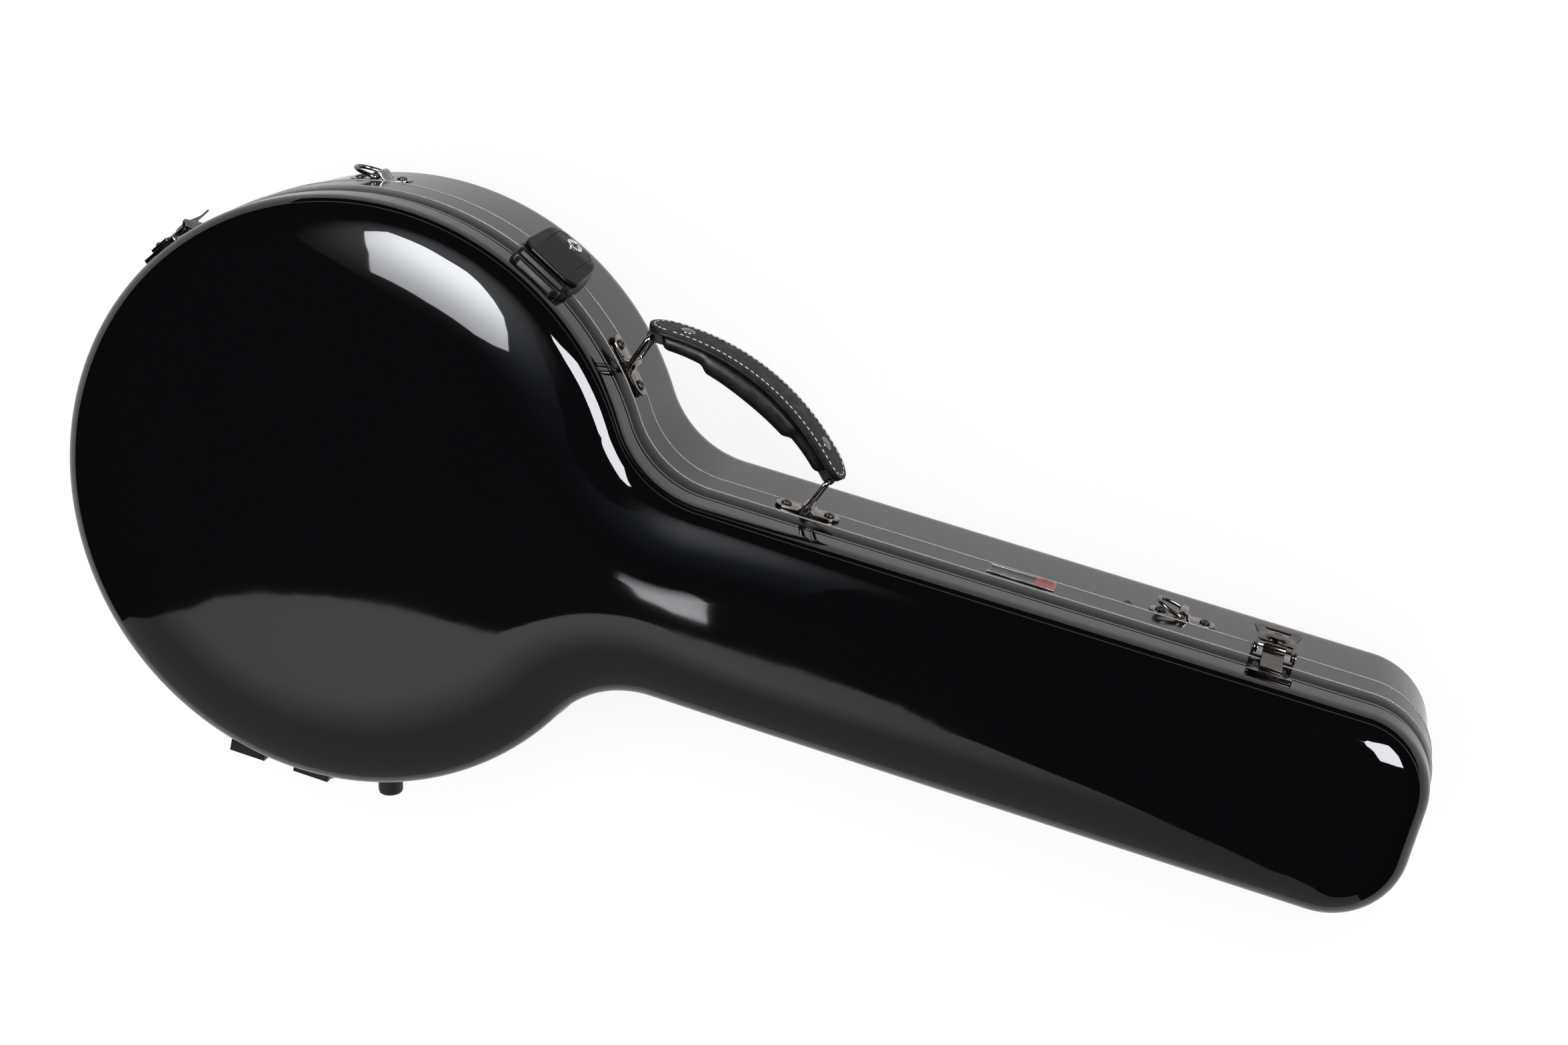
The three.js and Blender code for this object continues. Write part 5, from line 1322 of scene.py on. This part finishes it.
    def _rivets(self) -> None:
        """Two domed rivets with a fine rim."""
        profile = [
            (0, -0.0002), (0.0050, -0.0002), (0.0050, 0.0003), (0.0047, 0.0006), (0.0041, 0.0006),
            (0.0038, 0.0008), (0.0028, 0.0013), (0.0015, 0.0016), (0, 0.0017),
        ]
        for label, x in (("pot", self.rivet_place), ("neck", self.chord - self.rivet_place)):
            rivet = Bench.turn(f"handle_rivet_{label}_dome", profile, 48)
            seat = Matrix.Translation(self._on_strap(x, self.thick, 0))
            Bench.put(rivet, self.grip @ seat @ Matrix.Rotation(self._slope(x), 4, "Z") @ OUTWARD)
            Bench.finish(rivet, 50, Finishes.NICKEL, Body.GRIP, f"handle_rivet_{label}")

    def build(self) -> None:
        """Builds the whole handle and its two plates."""
        for label in ("pot", "neck"):
            Bench.refine(f"handle_{label}_plate", "sheet", PLATE_EASE, Finishes.NICKEL, Body.BASE)
        self._loops()
        self._strap()
        self._stitches()
        self._roll()
        self._rivets()


@dataclass
class DrawLatches:
    """Both draw latches: base, lever with its boss, link and catch."""

    def build(self) -> None:
        """Eases the edges of every sheet piece and plates it."""
        for label, lever, link in (
            ("pot", Body.LEVER_POT, Body.LINK_POT), ("neck", Body.LEVER_NECK, Body.LINK_NECK)
        ):
            for part, body in (("base", Body.BASE), ("lever", lever), ("link", link), ("catch", Body.LID)):
                Bench.refine(f"{label}_latch_{part}", "sheet", 0.00025, Finishes.LATCH, body)


@dataclass
class KeyLock:
    """The lock over the seam: base, stepped cap with its panel, keeper with its sill, and the key ring."""

    plan: CasePlan
    half: float = 0.022
    frame_half: float = 0.025
    rear_z: float = 0.0843
    pivot_out: float = 0.01225
    pivot_z: float = 0.1254
    nose: float = 0.005
    rear_chamfer: float = 0.011
    front_chamfer: float = 0.007
    corner_cut: float = 0.0016
    wall: float = 0.0024
    panel_half: float = 0.014
    panel_length: float = 0.0275
    panel_chamfer: float = 0.0055
    groove_width: float = 0.00045
    groove_depth: float = 0.0007
    top_out: float = 0.01825
    key_z: float = 0.0938
    key_radius: float = 0.006
    key_bore: float = 0.0031
    key_floor: float = 0.0144
    key_seat: float = 0.01475
    key_proud: float = 0.0008
    key_play: float = 0.0003
    index_gap: float = 0.0020
    over_all: float = 0.021
    keeper_low: float = 0.0054
    keeper_half: float = 0.0205
    keeper_top: float = 0.1393
    slot_floor: float = 0.016
    slot_half: float = 0.0004
    slot_reach: float = 0.0021
    steps: tuple[tuple[float, float, float, float], ...] = (
        (7.25, 0.5, 0.4, 0.5), (7.6, 0.1, 0.1, 0.1), (8.0, 0, 0, 0), (8.5, 0, 0, 0), (8.65, 0.5, 0.6, 0),
        (8.95, 0.5, 0.6, 0), (9.1, 0.1, 0.2, 0), (9.5, 0.3, 0.5, 0), (10.1, 0.5, 0.9, 0), (10.7, 0.4, 0.7, 0),
        (10.95, 0.2, 0.3, 0), (11.1, 0.3, 0.7, 0.1), (11.4, 0.5, 2.0, 0.1), (12.0, 0.7, 4.5, 0.1),
        (13.0, 0.9, 8.6, 0.2), (14.0, 1.1, 12.7, 0.3), (15.0, 1.3, 16.8, 0.4), (16.0, 1.7, 20.9, 0.7),
        (17.0, 2.4, 25.0, 1.2), (17.6, 3.1, 27.4, 1.7), (18.0, 4.0, 29.6, 2.2), (18.2, 4.9, 31.2, 2.6),
        (18.25, 5.5, 32.0, 2.9),
    )

    def _rounded(self, corners: Stations, cut: float, out: float) -> Ring:
        """A closed outline with every corner rounded, at a height over the wall.

        Args:
            corners: the sharp corners along the wall and across it.
            cut: how far each corner is cut back.
            out: the height over the wall.

        Returns:
            Five points for each corner.
        """
        made = []
        sharp = [Vector((x, out, z)) for x, z in corners]
        for before, corner, after in zip([sharp[-1], *sharp[:-1]], sharp, [*sharp[1:], sharp[0]]):
            first = corner + (before - corner).normalized() * min(cut, (before - corner).length * 0.45)
            last = corner + (after - corner).normalized() * min(cut, (after - corner).length * 0.45)
            for i in range(5):
                t = i / 4
                made.append(first * (1 - t) ** 2 + corner * 2 * t * (1 - t) + last * t**2)
        return made

    def _cap_ring(self, out: float, side: float, front: float, rear: float) -> Ring:
        """The cap's outline at one step; under its pivot the front follows the round nose."""
        drop = max(0.0, self.pivot_out - out)
        high = self.pivot_z + math.sqrt(max(0.0, self.nose**2 - drop**2)) - front
        low, half = self.rear_z + rear, self.half - side
        cf = min(self.front_chamfer, 0.3 * (high - low))
        cr = min(self.rear_chamfer, 0.5 * (high - low))
        corners = [
            (cr - half, low), (half - cr, low), (half, low + cr), (half, high - cf),
            (half - cf, high), (cf - half, high), (-half, high - cf), (-half, low + cr),
        ]
        return self._rounded(corners, self.corner_cut, out)

    def _surface(self, z: float) -> float:
        """How far out the cap's top stands at a place between its rear and its front edge."""
        edge = self.pivot_z + self.nose
        crest = [(edge - front * MM, out * MM) for out, _, front, _ in self.steps if out > 11]
        for (front, low), (back, high) in zip(crest, crest[1:]):
            if z >= back:
                return low + (high - low) * (front - z) / (front - back)
        return self.top_out

    def _panel_ring(self, gap: float, lift: float) -> Ring:
        """The panel's outline on the cap's top, which has two long corners at the rear."""
        half, low = self.panel_half - gap, self.rear_z + self.wall + gap
        high, c = low + self.panel_length - 2 * gap, self.panel_chamfer
        corners = [
            (c - half, low), (half - c, low), (half, low + c), (half, high), (-half, high), (-half, low + c)
        ]
        outline = self._rounded(corners, 0.0009, 0)
        made = []
        for index, (here, ahead) in enumerate(zip(outline, [*outline[1:], outline[0]])):
            pieces = 14 if index % 5 == 4 else 1
            for i in range(pieces):
                point = here.lerp(ahead, i / pieces)
                made.append(Vector((point.x, self._surface(point.z) + lift, point.z)))
        return made

    def _disc(self, radius: float, out: float) -> Ring:
        """A circle about the key's axis."""
        turn = [2 * math.pi * i / 48 for i in range(48)]
        return [Vector((radius * math.cos(a), out, self.key_z + radius * math.sin(a))) for a in turn]

    def _cap(self, place: Matrix) -> None:
        """Lofts the stepped cap, grooves its panel and bores it for the key."""
        rings = [self._cap_ring(*(value * MM for value in step)) for step in self.steps]
        cap = Bench.loft("lock_cap_moulding", rings)
        width, depth, over = self.groove_width, self.groove_depth, 0.002
        walls = ((0, over), (0, -depth), (width, -depth), (width, over))
        groove = Bench.loft("panel_groove", [self._panel_ring(*wall) for wall in walls], closed=True)
        radius, depths = self.key_radius + self.key_play, (self.key_floor, self.over_all)
        bore = Bench.loft("key_bore", [self._disc(radius, out) for out in depths])
        Bench.cut(cap, groove, bore)
        Bench.finish(cap, 30, Finishes.LOCK, Body.CAP, "lock_cap", place=place)

    def _key(self, place: Matrix) -> None:
        """The bright ring, the dark slotted core in it and a small index pin."""
        top, seat = self.top_out + self.key_proud, self.key_seat
        rim, bore = self.key_radius, self.key_bore
        levels = [
            (bore, seat), (rim, seat), (rim, top - 0.0004), (rim - 0.0004, top), (rim - 0.0012, top),
            (rim - 0.0013, top - 0.00015), (bore + 0.0006, top - 0.00015), (bore, top - 0.0005),
        ]
        ring = Bench.loft("lock_key_ring", [self._disc(*level) for level in levels], closed=True)
        Bench.finish(ring, 30, Finishes.SILVER, Body.KEY, "lock_key_cylinder", place=place)
        ends = (seat + 0.00015, top - 0.0005)
        core = Bench.loft("lock_key_core", [self._disc(bore - 0.00005, out) for out in ends])
        x, z = self.slot_half, self.slot_reach
        slot = [(-x, -z), (x, -z), (x, z), (-x, z)]
        depths = (self.slot_floor, self.over_all)
        sides = [[Vector((sx, out, self.key_z + sz)) for sx, sz in slot] for out in depths]
        Bench.cut(core, Bench.loft("key_slot", sides))
        Bench.finish(core, 30, Finishes.SCREW, Body.KEY, place=place)
        index_z = self.key_z + self.key_radius + self.index_gap
        dome = [
            (0, -0.0012), (0.0008, -0.0012), (0.0008, 0.0001), (0.0006, 0.0003), (0.0003, 0.0004), (0, 0.0004)
        ]
        pin = Bench.turn("lock_index_pin", dome, 24)
        seat = place @ Matrix.Translation((0, self._surface(index_z), index_z)) @ OUTWARD
        Bench.finish(pin, 40, Finishes.SILVER, Body.CAP, place=seat)

    def _keeper(self, place: Matrix) -> None:
        """The keeper on the lid: two rounded steps that carry the cap's steps on, over a tapered plate."""
        low = self.pivot_z + self.keeper_low
        steps = (
            (-1.6, 5.4, 0.0), (2.7, 5.4, 0.0), (3.2, 5.1, 0.3), (3.4, 4.4, 0.8), (3.5, 2.9, 1.1),
            (3.8, 2.4, 1.3), (6.3, 2.2, 1.4), (6.8, 1.8, 1.7), (7.0, 1.2, 2.1),
        )
        rings = []
        for out, depth, trim in steps:
            end, high = self.half - trim * MM, low + depth * MM
            corners = [(-end, low), (end, low), (end - 0.0028, high), (0.0028 - end, high)]
            rings.append(self._rounded(corners, 0.0012, out * MM))
        sill = Bench.loft("lock_keeper_sill", rings)
        rings = []
        for out, trim in ((-0.0026, 0), (0.0018, 0), (0.0025, 0.0003), (0.0028, 0.0009)):
            end, high = self.keeper_half - trim, self.keeper_top - trim
            side = low + 0.003
            corners = [
                (-end, low), (end, low), (end, side), (end - 0.006, high), (0.006 - end, high), (-end, side)
            ]
            rings.append(self._rounded(corners, 0.0012, out))
        plate = Bench.loft("lock_keeper_plate", rings)
        Bench.finish(sill, 34, Finishes.LOCK, Body.LID, place=place)
        Bench.finish(plate, 34, Finishes.LOCK, Body.LID, "lock_keeper", place=place)

    def _base(self, place: Matrix) -> None:
        """The base, as long as the cap, which covers it: nothing of it stands up into the cap."""
        base = Bench.from_frame("lock_base", "moulding", 0.0007, segments=3)
        Bench.put(base, place.inverted())
        Bench.put(base, Matrix.Diagonal((self.half / self.frame_half, 1, 1, 1)))
        level = self.steps[0][0] * MM - 0.0001
        Bench.edit(base)
        bpy.ops.mesh.bisect(plane_co=(0, level, 0), plane_no=(0, 1, 0), clear_outer=True, use_fill=True)
        Bench.close(base)
        Bench.finish(base, 34, Finishes.LOCK, Body.BASE, place=place)

    def build(self) -> None:
        """Builds the lock in its place on the pot."""
        place = self.plan.on_pot(LOCK_ON_POT)
        self._base(place)
        self._cap(place)
        self._key(place)
        self._keeper(place)


@dataclass
class Feet:
    """Two rubber feet at the tail's underside."""

    plan: CasePlan
    length: float = 0.026
    radius: float = 0.0096
    places: tuple[tuple[str, float, float], ...] = (("front_foot", 0.097, 0.0), ("rear_foot", 0.052, -0.002))

    def build(self) -> None:
        """Turns each foot with a waist and an eased end, at its height and its seat."""
        r, end = self.radius, self.length
        for name, z, seat in self.places:
            profile = [
                (0, seat + 0.0003), (r, seat + 0.0003), (r, seat + 0.0018), (r - 0.0006, seat + 0.0026),
                (r - 0.0009, end * 0.5), (r - 0.0011, end - 0.0024), (r - 0.0016, end - 0.0009),
                (r - 0.0026, end), (r * 0.4, end), (r * 0.36, end - 0.0008), (0, end - 0.0008),
            ]
            foot = Bench.turn(f"{name}_rubber", profile, 56)
            Bench.put(foot, self.plan.on_pot(FEET_ON_POT) @ Matrix.Translation((0, 0, z)) @ OUTWARD)
            Bench.finish(foot, 40, Finishes.RUBBER, Body.BASE, name)


@dataclass
class BadgePlate:
    """The blank badge on the strip: a pale frame, a dark field and a plain red end."""

    red_share: float = 0.70
    frame_width: float = 0.0012

    def build(self) -> None:
        """Frames the plate and paints its sunk field."""
        badge = Bench.from_frame("badge_plate", "blank", 0.0002)
        for finish in (Finishes.BADGE_FRAME, Finishes.BADGE_FIELD, Finishes.BADGE_RED):
            badge.data.materials.append(finish.make())
        low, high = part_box("badge_plate")
        red_from = low.x + self.red_share * (high.x - low.x)
        Bench.edit(badge)
        bpy.ops.mesh.bisect(plane_co=(red_from, 0, 0), plane_no=(1, 0, 0))
        Bench.close(badge)
        rim = self.frame_width
        for face in badge.data.polygons:
            x, _, z = face.center
            inside = low.x + rim < x < high.x - rim and low.z + rim < z < high.z - rim
            if face.normal.y > 0.9 and inside:
                face.material_index = 2 if x > red_from else 1
        Bench.dress(badge, Finishes.BADGE_FRAME, Body.BASE)


@dataclass
class LidHinges:
    """The two hinges on the underside, with their pins."""

    def build(self) -> None:
        """Eases the leaves and pins, which are plated black."""
        for number in (1, 2):
            for part, body in (("base_leaf", Body.BASE), ("lid_leaf", Body.LID), ("pin", Body.BASE)):
                Bench.refine(f"hinge_{number}_{part}", "plated", 0.0003, Finishes.HINGE, body)


# ---------------------------------------------------------------- the studio


@dataclass(frozen=True)
class Softbox:
    """A bright card, brightest at its heart and dimmer away from it.

    A level card gives its height and its corners in plan. An upright one gives its place along Y
    and its corners in X and Z.
    """

    name: str
    height: float
    corners: Stations
    radiance: float
    tint: Colour = (0.95, 0.97, 1.0)
    heart: tuple[float, float] = (0, 0)
    near: float = 0.0
    far: float = 1.0
    dim: float = 1.0
    upright: bool = False
    opaque: bool = False

    def place(self, point: tuple[float, float]) -> Vector:
        """Returns the place of a point of the card's plane."""
        across, along = point
        return Vector((across, self.height, along)) if self.upright else Vector((across, along, self.height))


def strength_by_ray(tree: bpy.types.NodeTree, seen: float, mirrored: float, lit: float) -> Socket:
    """Works out a strength from what kind of ray asks.

    Args:
        tree: the node tree that gets the nodes.
        seen: the strength for the camera.
        mirrored: the strength for reflections.
        lit: the strength for everything that is only lit.

    Returns:
        The socket that gives the strength.
    """
    paths = tree.nodes.new("ShaderNodeLightPath")
    direct = tree.nodes.new("ShaderNodeMath")
    direct.operation = "MAXIMUM"
    tree.links.new(paths.outputs["Is Camera Ray"], direct.inputs[0])
    tree.links.new(paths.outputs["Is Transmission Ray"], direct.inputs[1])
    strength = None
    for share, value in ((direct.outputs[0], seen), (paths.outputs["Is Glossy Ray"], mirrored)):
        step = tree.nodes.new("ShaderNodeMath")
        step.operation = "MULTIPLY_ADD"
        step.inputs[1].default_value = value - lit
        step.inputs[2].default_value = lit
        tree.links.new(share, step.inputs[0])
        if strength is not None:
            tree.links.new(strength, step.inputs[2])
        strength = step.outputs[0]
    return strength


def glowing(name: str, other: str = "") -> tuple[bpy.types.Material, dict[str, bpy.types.Node]]:
    """Makes a material that glows.

    Args:
        name: the material's name.
        other: the node type of a shader that the glow is added to, or none.

    Returns:
        The material, and its nodes "glow" and "other".
    """
    material = bpy.data.materials.new(name)
    material.use_nodes = True
    tree = material.node_tree
    tree.nodes.remove(tree.nodes["Principled BSDF"])
    made = {"glow": tree.nodes.new("ShaderNodeEmission")}
    face = made["glow"]
    if other:
        made["other"] = tree.nodes.new(other)
        face = tree.nodes.new("ShaderNodeAddShader")
        tree.links.new(made["other"].outputs[0], face.inputs[0])
        tree.links.new(made["glow"].outputs[0], face.inputs[1])
    tree.links.new(face.outputs[0], tree.nodes["Material Output"].inputs["Surface"])
    return material, made


@dataclass
class Studio:
    """The pale floor, the world, the dark and bright cards that mirrors see, the lamps and the camera."""

    paper_grey: float = 0.2
    floor_grey: float = 0.86
    floor_mirrored: float = 0.60
    world_light: float = 0.55
    tent_height: float = 1.7
    wall_foot: float = 0.2
    roof_edge: Stations = (
        (-3.0, -3.0), (-1.49, -1.56), (-0.97, -1.04), (-0.73, -0.80), (-0.67, -0.775), (-0.60, -0.753),
        (-0.53, -0.737), (-0.47, -0.727), (-0.40, -0.722), (-0.33, -0.722), (-0.27, -0.715), (-0.23, -0.695),
        (-0.18, -0.666), (-0.14, -0.652), (-0.06, -0.642), (0.02, -0.638), (0.10, -0.638), (0.19, -0.642),
        (0.27, -0.652), (0.35, -0.675), (0.43, -0.73), (0.52, -0.83), (0.58, -0.95), (0.63, -1.10),
        (0.70, -1.30), (0.76, -1.55), (0.86, -2.09), (1.2, -2.6), (1.71, -3.12),
    )
    softboxes: tuple[Softbox, ...] = (
        Softbox("softbox_pot", 0.67, (
            (-0.264, 0.439), (-0.207, 0.249), (-0.190, 0.151), (-0.105, 0.116), (-0.029, 0.102),
            (0.010, 0.113), (0.050, 0.135), (0.071, 0.207), (0.081, 0.278), (0.070, 0.343),
            (0.044, 0.410), (0.013, 0.446), (-0.044, 0.460), (-0.101, 0.490), (-0.221, 0.520),
        ), 22.0, heart=(0.0, 0.48), near=0.10, far=0.42, dim=0.32),
        Softbox("glow_pot", 0.69, (
            (-0.50, 0.40), (-0.30, 0.20), (-0.10, 0.02), (0.20, 0.06), (0.34, 0.30), (0.30, 0.62),
            (0.05, 0.86), (-0.30, 0.80),
        ), 1.3, heart=(-0.06, 0.44), near=0.10, far=0.40, dim=0.0),
        Softbox("softbox_throat", 1.69, (
            (0.87, 1.20), (0.93, 0.99), (1.11, 0.86), (1.25, 0.62), (1.31, 0.55), (2.00, 0.72), (2.70, 0.95),
            (2.60, 1.60), (2.07, 2.05), (1.14, 1.45), (0.95, 1.40),
        ), 20.0),
        Softbox("softbox_middle", 1.69, (
            (-0.16, -0.56), (-0.14, -0.46), (-0.11, -0.43), (-0.09, -0.46), (-0.04, -0.56), (-0.035, -0.60),
            (-0.08, -0.598), (-0.13, -0.59),
        ), 8.0, heart=(-0.085, -0.67), near=0.07, far=0.20, dim=0.0),
        Softbox("haze_neck", 0.90, (
            (-0.05, -0.12), (0.20, -0.12), (0.27, 0.75), (-0.12, 0.75),
        ), 0.22, (0.6, 0.72, 1.0), heart=(0.08, 0.28), near=0.05, far=0.36, dim=0.0),
        Softbox("screen_far", -3.5, (
            (-12.0, 0.0), (12.0, 0.0), (12.0, 16.0), (-12.0, 16.0),
        ), 1.25, (1, 1, 1), heart=(-2.1, 7.8), near=0.3, far=4.2, dim=0.33, upright=True, opaque=True),
        Softbox("screen_near", 0.9, (
            (0.38, -0.86), (0.74, -0.86), (0.95, -1.60), (0.46, -1.60),
        ), 0.42, (1, 1, 1), opaque=True),
    )
    lamps: tuple[tuple, ...] = (
        ("key_lamp", (0.5, 1.4, 2.2), (0.3, 0, 0.1), 1.2, 22),
        ("fill_lamp", (-1.2, -0.8, 1.8), (0.2, 0, 0.1), 1.4, 10),
    )
    camera_rows: tuple[tuple[float, ...], ...] = (
        (0.9430, -0.2917, 0.1605, 0.5384),
        (0.2302, 0.9196, 0.3184, 0.5665),
        (-0.2405, -0.2633, 0.9343, 1.5909),
        (0, 0, 0, 1),
    )
    camera_lens: float = 55.98
    dark_floor: Stations = (
        (-0.35, 0.46), (-0.1, 0.54), (0.15, 0.50), (0.32, 0.40), (0.45, 0.36), (3.0, 0.40),
        (3.0, 3.0), (-3.0, 3.0), (-1.6, 1.6),
    )

    def _floor(self) -> None:
        """A plain pale floor that keeps the object's shadow."""
        Bench.clear()
        bpy.ops.mesh.primitive_plane_add(size=30, location=(0.26, 0, -0.0002))
        floor = Bench.named("studio_floor")
        material, nodes = glowing("floor_paper", "ShaderNodeBsdfDiffuse")
        nodes["other"].inputs["Color"].default_value = (*[self.paper_grey] * 3, 1)
        strength = strength_by_ray(material.node_tree, self.floor_grey, self.floor_mirrored, 0)
        material.node_tree.links.new(strength, nodes["glow"].inputs["Strength"])
        floor.data.materials.append(material)

    def _world(self) -> None:
        """A white backdrop for what is seen and mirrored, and an even grey light for the rest."""
        world = bpy.data.worlds.new("studio_world")
        bpy.context.scene.world = world
        world.use_nodes = True
        tree = world.node_tree
        strength = strength_by_ray(tree, 1.0, 1.0, self.world_light)
        tree.links.new(strength, tree.nodes["Background"].inputs["Strength"])
        tree.nodes["Background"].inputs["Color"].default_value = (1, 1, 1, 1)

    def _card(self, name: str, corners: Ring, box: Softbox | None = None) -> None:
        """A flat card that only mirrors see: dark, or bright as a softbox.

        Args:
            name: the card's name.
            corners: its corners in order, in one plane.
            box: the softbox that it is, or None for a dark card.
        """
        Bench.clear()
        bpy.ops.mesh.primitive_circle_add(vertices=len(corners), radius=1, fill_type="NGON")
        card = Bench.named(name)
        for point, place in zip(card.data.vertices, corners):
            point.co = place
        see_through = box is not None and not box.opaque
        material, nodes = glowing(f"{name}_face", "ShaderNodeBsdfTransparent" if see_through else "")
        tree, glow = material.node_tree, nodes["glow"]
        glow.inputs["Strength"].default_value = 0.0
        if box is not None:
            glow.inputs["Color"].default_value = (*box.tint, 1)
            coords = tree.nodes.new("ShaderNodeTexCoord")
            away = tree.nodes.new("ShaderNodeVectorMath")
            away.operation = "DISTANCE"
            away.inputs[1].default_value = box.place(box.heart)
            level = tree.nodes.new("ShaderNodeMapRange")
            level.interpolation_type = "SMOOTHSTEP"
            for socket, value in (
                ("From Min", box.near), ("From Max", box.far),
                ("To Min", box.radiance), ("To Max", box.radiance * box.dim),
            ):
                level.inputs[socket].default_value = value
            tree.links.new(coords.outputs["Object"], away.inputs[0])
            tree.links.new(away.outputs["Value"], level.inputs["Value"])
            tree.links.new(level.outputs["Result"], glow.inputs["Strength"])
        card.data.materials.append(material)
        for ray in ("camera", "diffuse", "shadow", "transmission", "volume_scatter"):
            setattr(card, f"visible_{ray}", False)

    def _tent(self) -> None:
        """The dark room over the lid, open towards the hinges, and the softboxes in it."""
        low, top = self.wall_foot, self.tent_height
        near, left, right, far = (-3, -3), (-3, 3), (3, 3), (3, -3.4)
        self._card("dark_roof", [Vector((*corner, top)) for corner in (*self.roof_edge, far, right, left)])
        for name, start, end in (("tail", near, left), ("handle", left, right), ("end", right, far)):
            places = ((*start, low), (*end, low), (*end, top), (*start, top))
            self._card(f"dark_wall_{name}", [Vector(place) for place in places])
        self._card("dark_floor", [Vector((x, y, 0.001)) for x, y in self.dark_floor])
        for box in self.softboxes:
            self._card(box.name, [box.place(corner) for corner in box.corners], box)

    def _lamps(self) -> None:
        """Square area lamps that only light what is matt."""
        for name, place, aim, size, watts in self.lamps:
            bpy.ops.object.light_add(type="AREA", location=place)
            lamp = bpy.context.object
            lamp.name = name
            lamp.data.size = size
            lamp.data.energy = watts
            lamp.rotation_euler = (Vector(aim) - Vector(place)).to_track_quat("-Z", "Y").to_euler()
            lamp.visible_glossy = False

    def _camera(self) -> None:
        """The camera at the photograph's viewing angle."""
        bpy.ops.object.camera_add()
        camera = bpy.context.object
        camera.name = "photo_camera"
        camera.data.lens = self.camera_lens
        camera.data.sensor_width = 36
        camera.matrix_world = Matrix(self.camera_rows)
        bpy.context.scene.camera = camera

    def build(self) -> None:
        """Sets up everything that isn't part of the object."""
        Bench.clear()
        self._camera()
        self._floor()
        self._world()
        self._tent()
        self._lamps()
        bpy.context.scene.view_settings.view_transform = "Standard"


def main() -> None:
    """Builds the case piece by piece, then the studio round it."""
    logging.basicConfig(level=logging.INFO, format="%(name)s: %(message)s")
    plan = CasePlan()
    lid = LidShell(plan)
    assemblies = [
        RearShell(plan),
        RimBand(plan),
        lid,
        SealAndRim(plan),
        Linings(plan, lid),
        Compartment(),
        LidHinges(),
        CarryingHandle(plan),
        StrapFittings(plan),
        Fasteners(plan),
        DrawLatches(),
        KeyLock(plan),
        Feet(plan),
        BadgePlate(),
        Studio(),
    ]
    for assembly in assemblies:
        log.info("building %s", type(assembly).__name__)
        assembly.build()


if __name__ == "__main__":
    main()
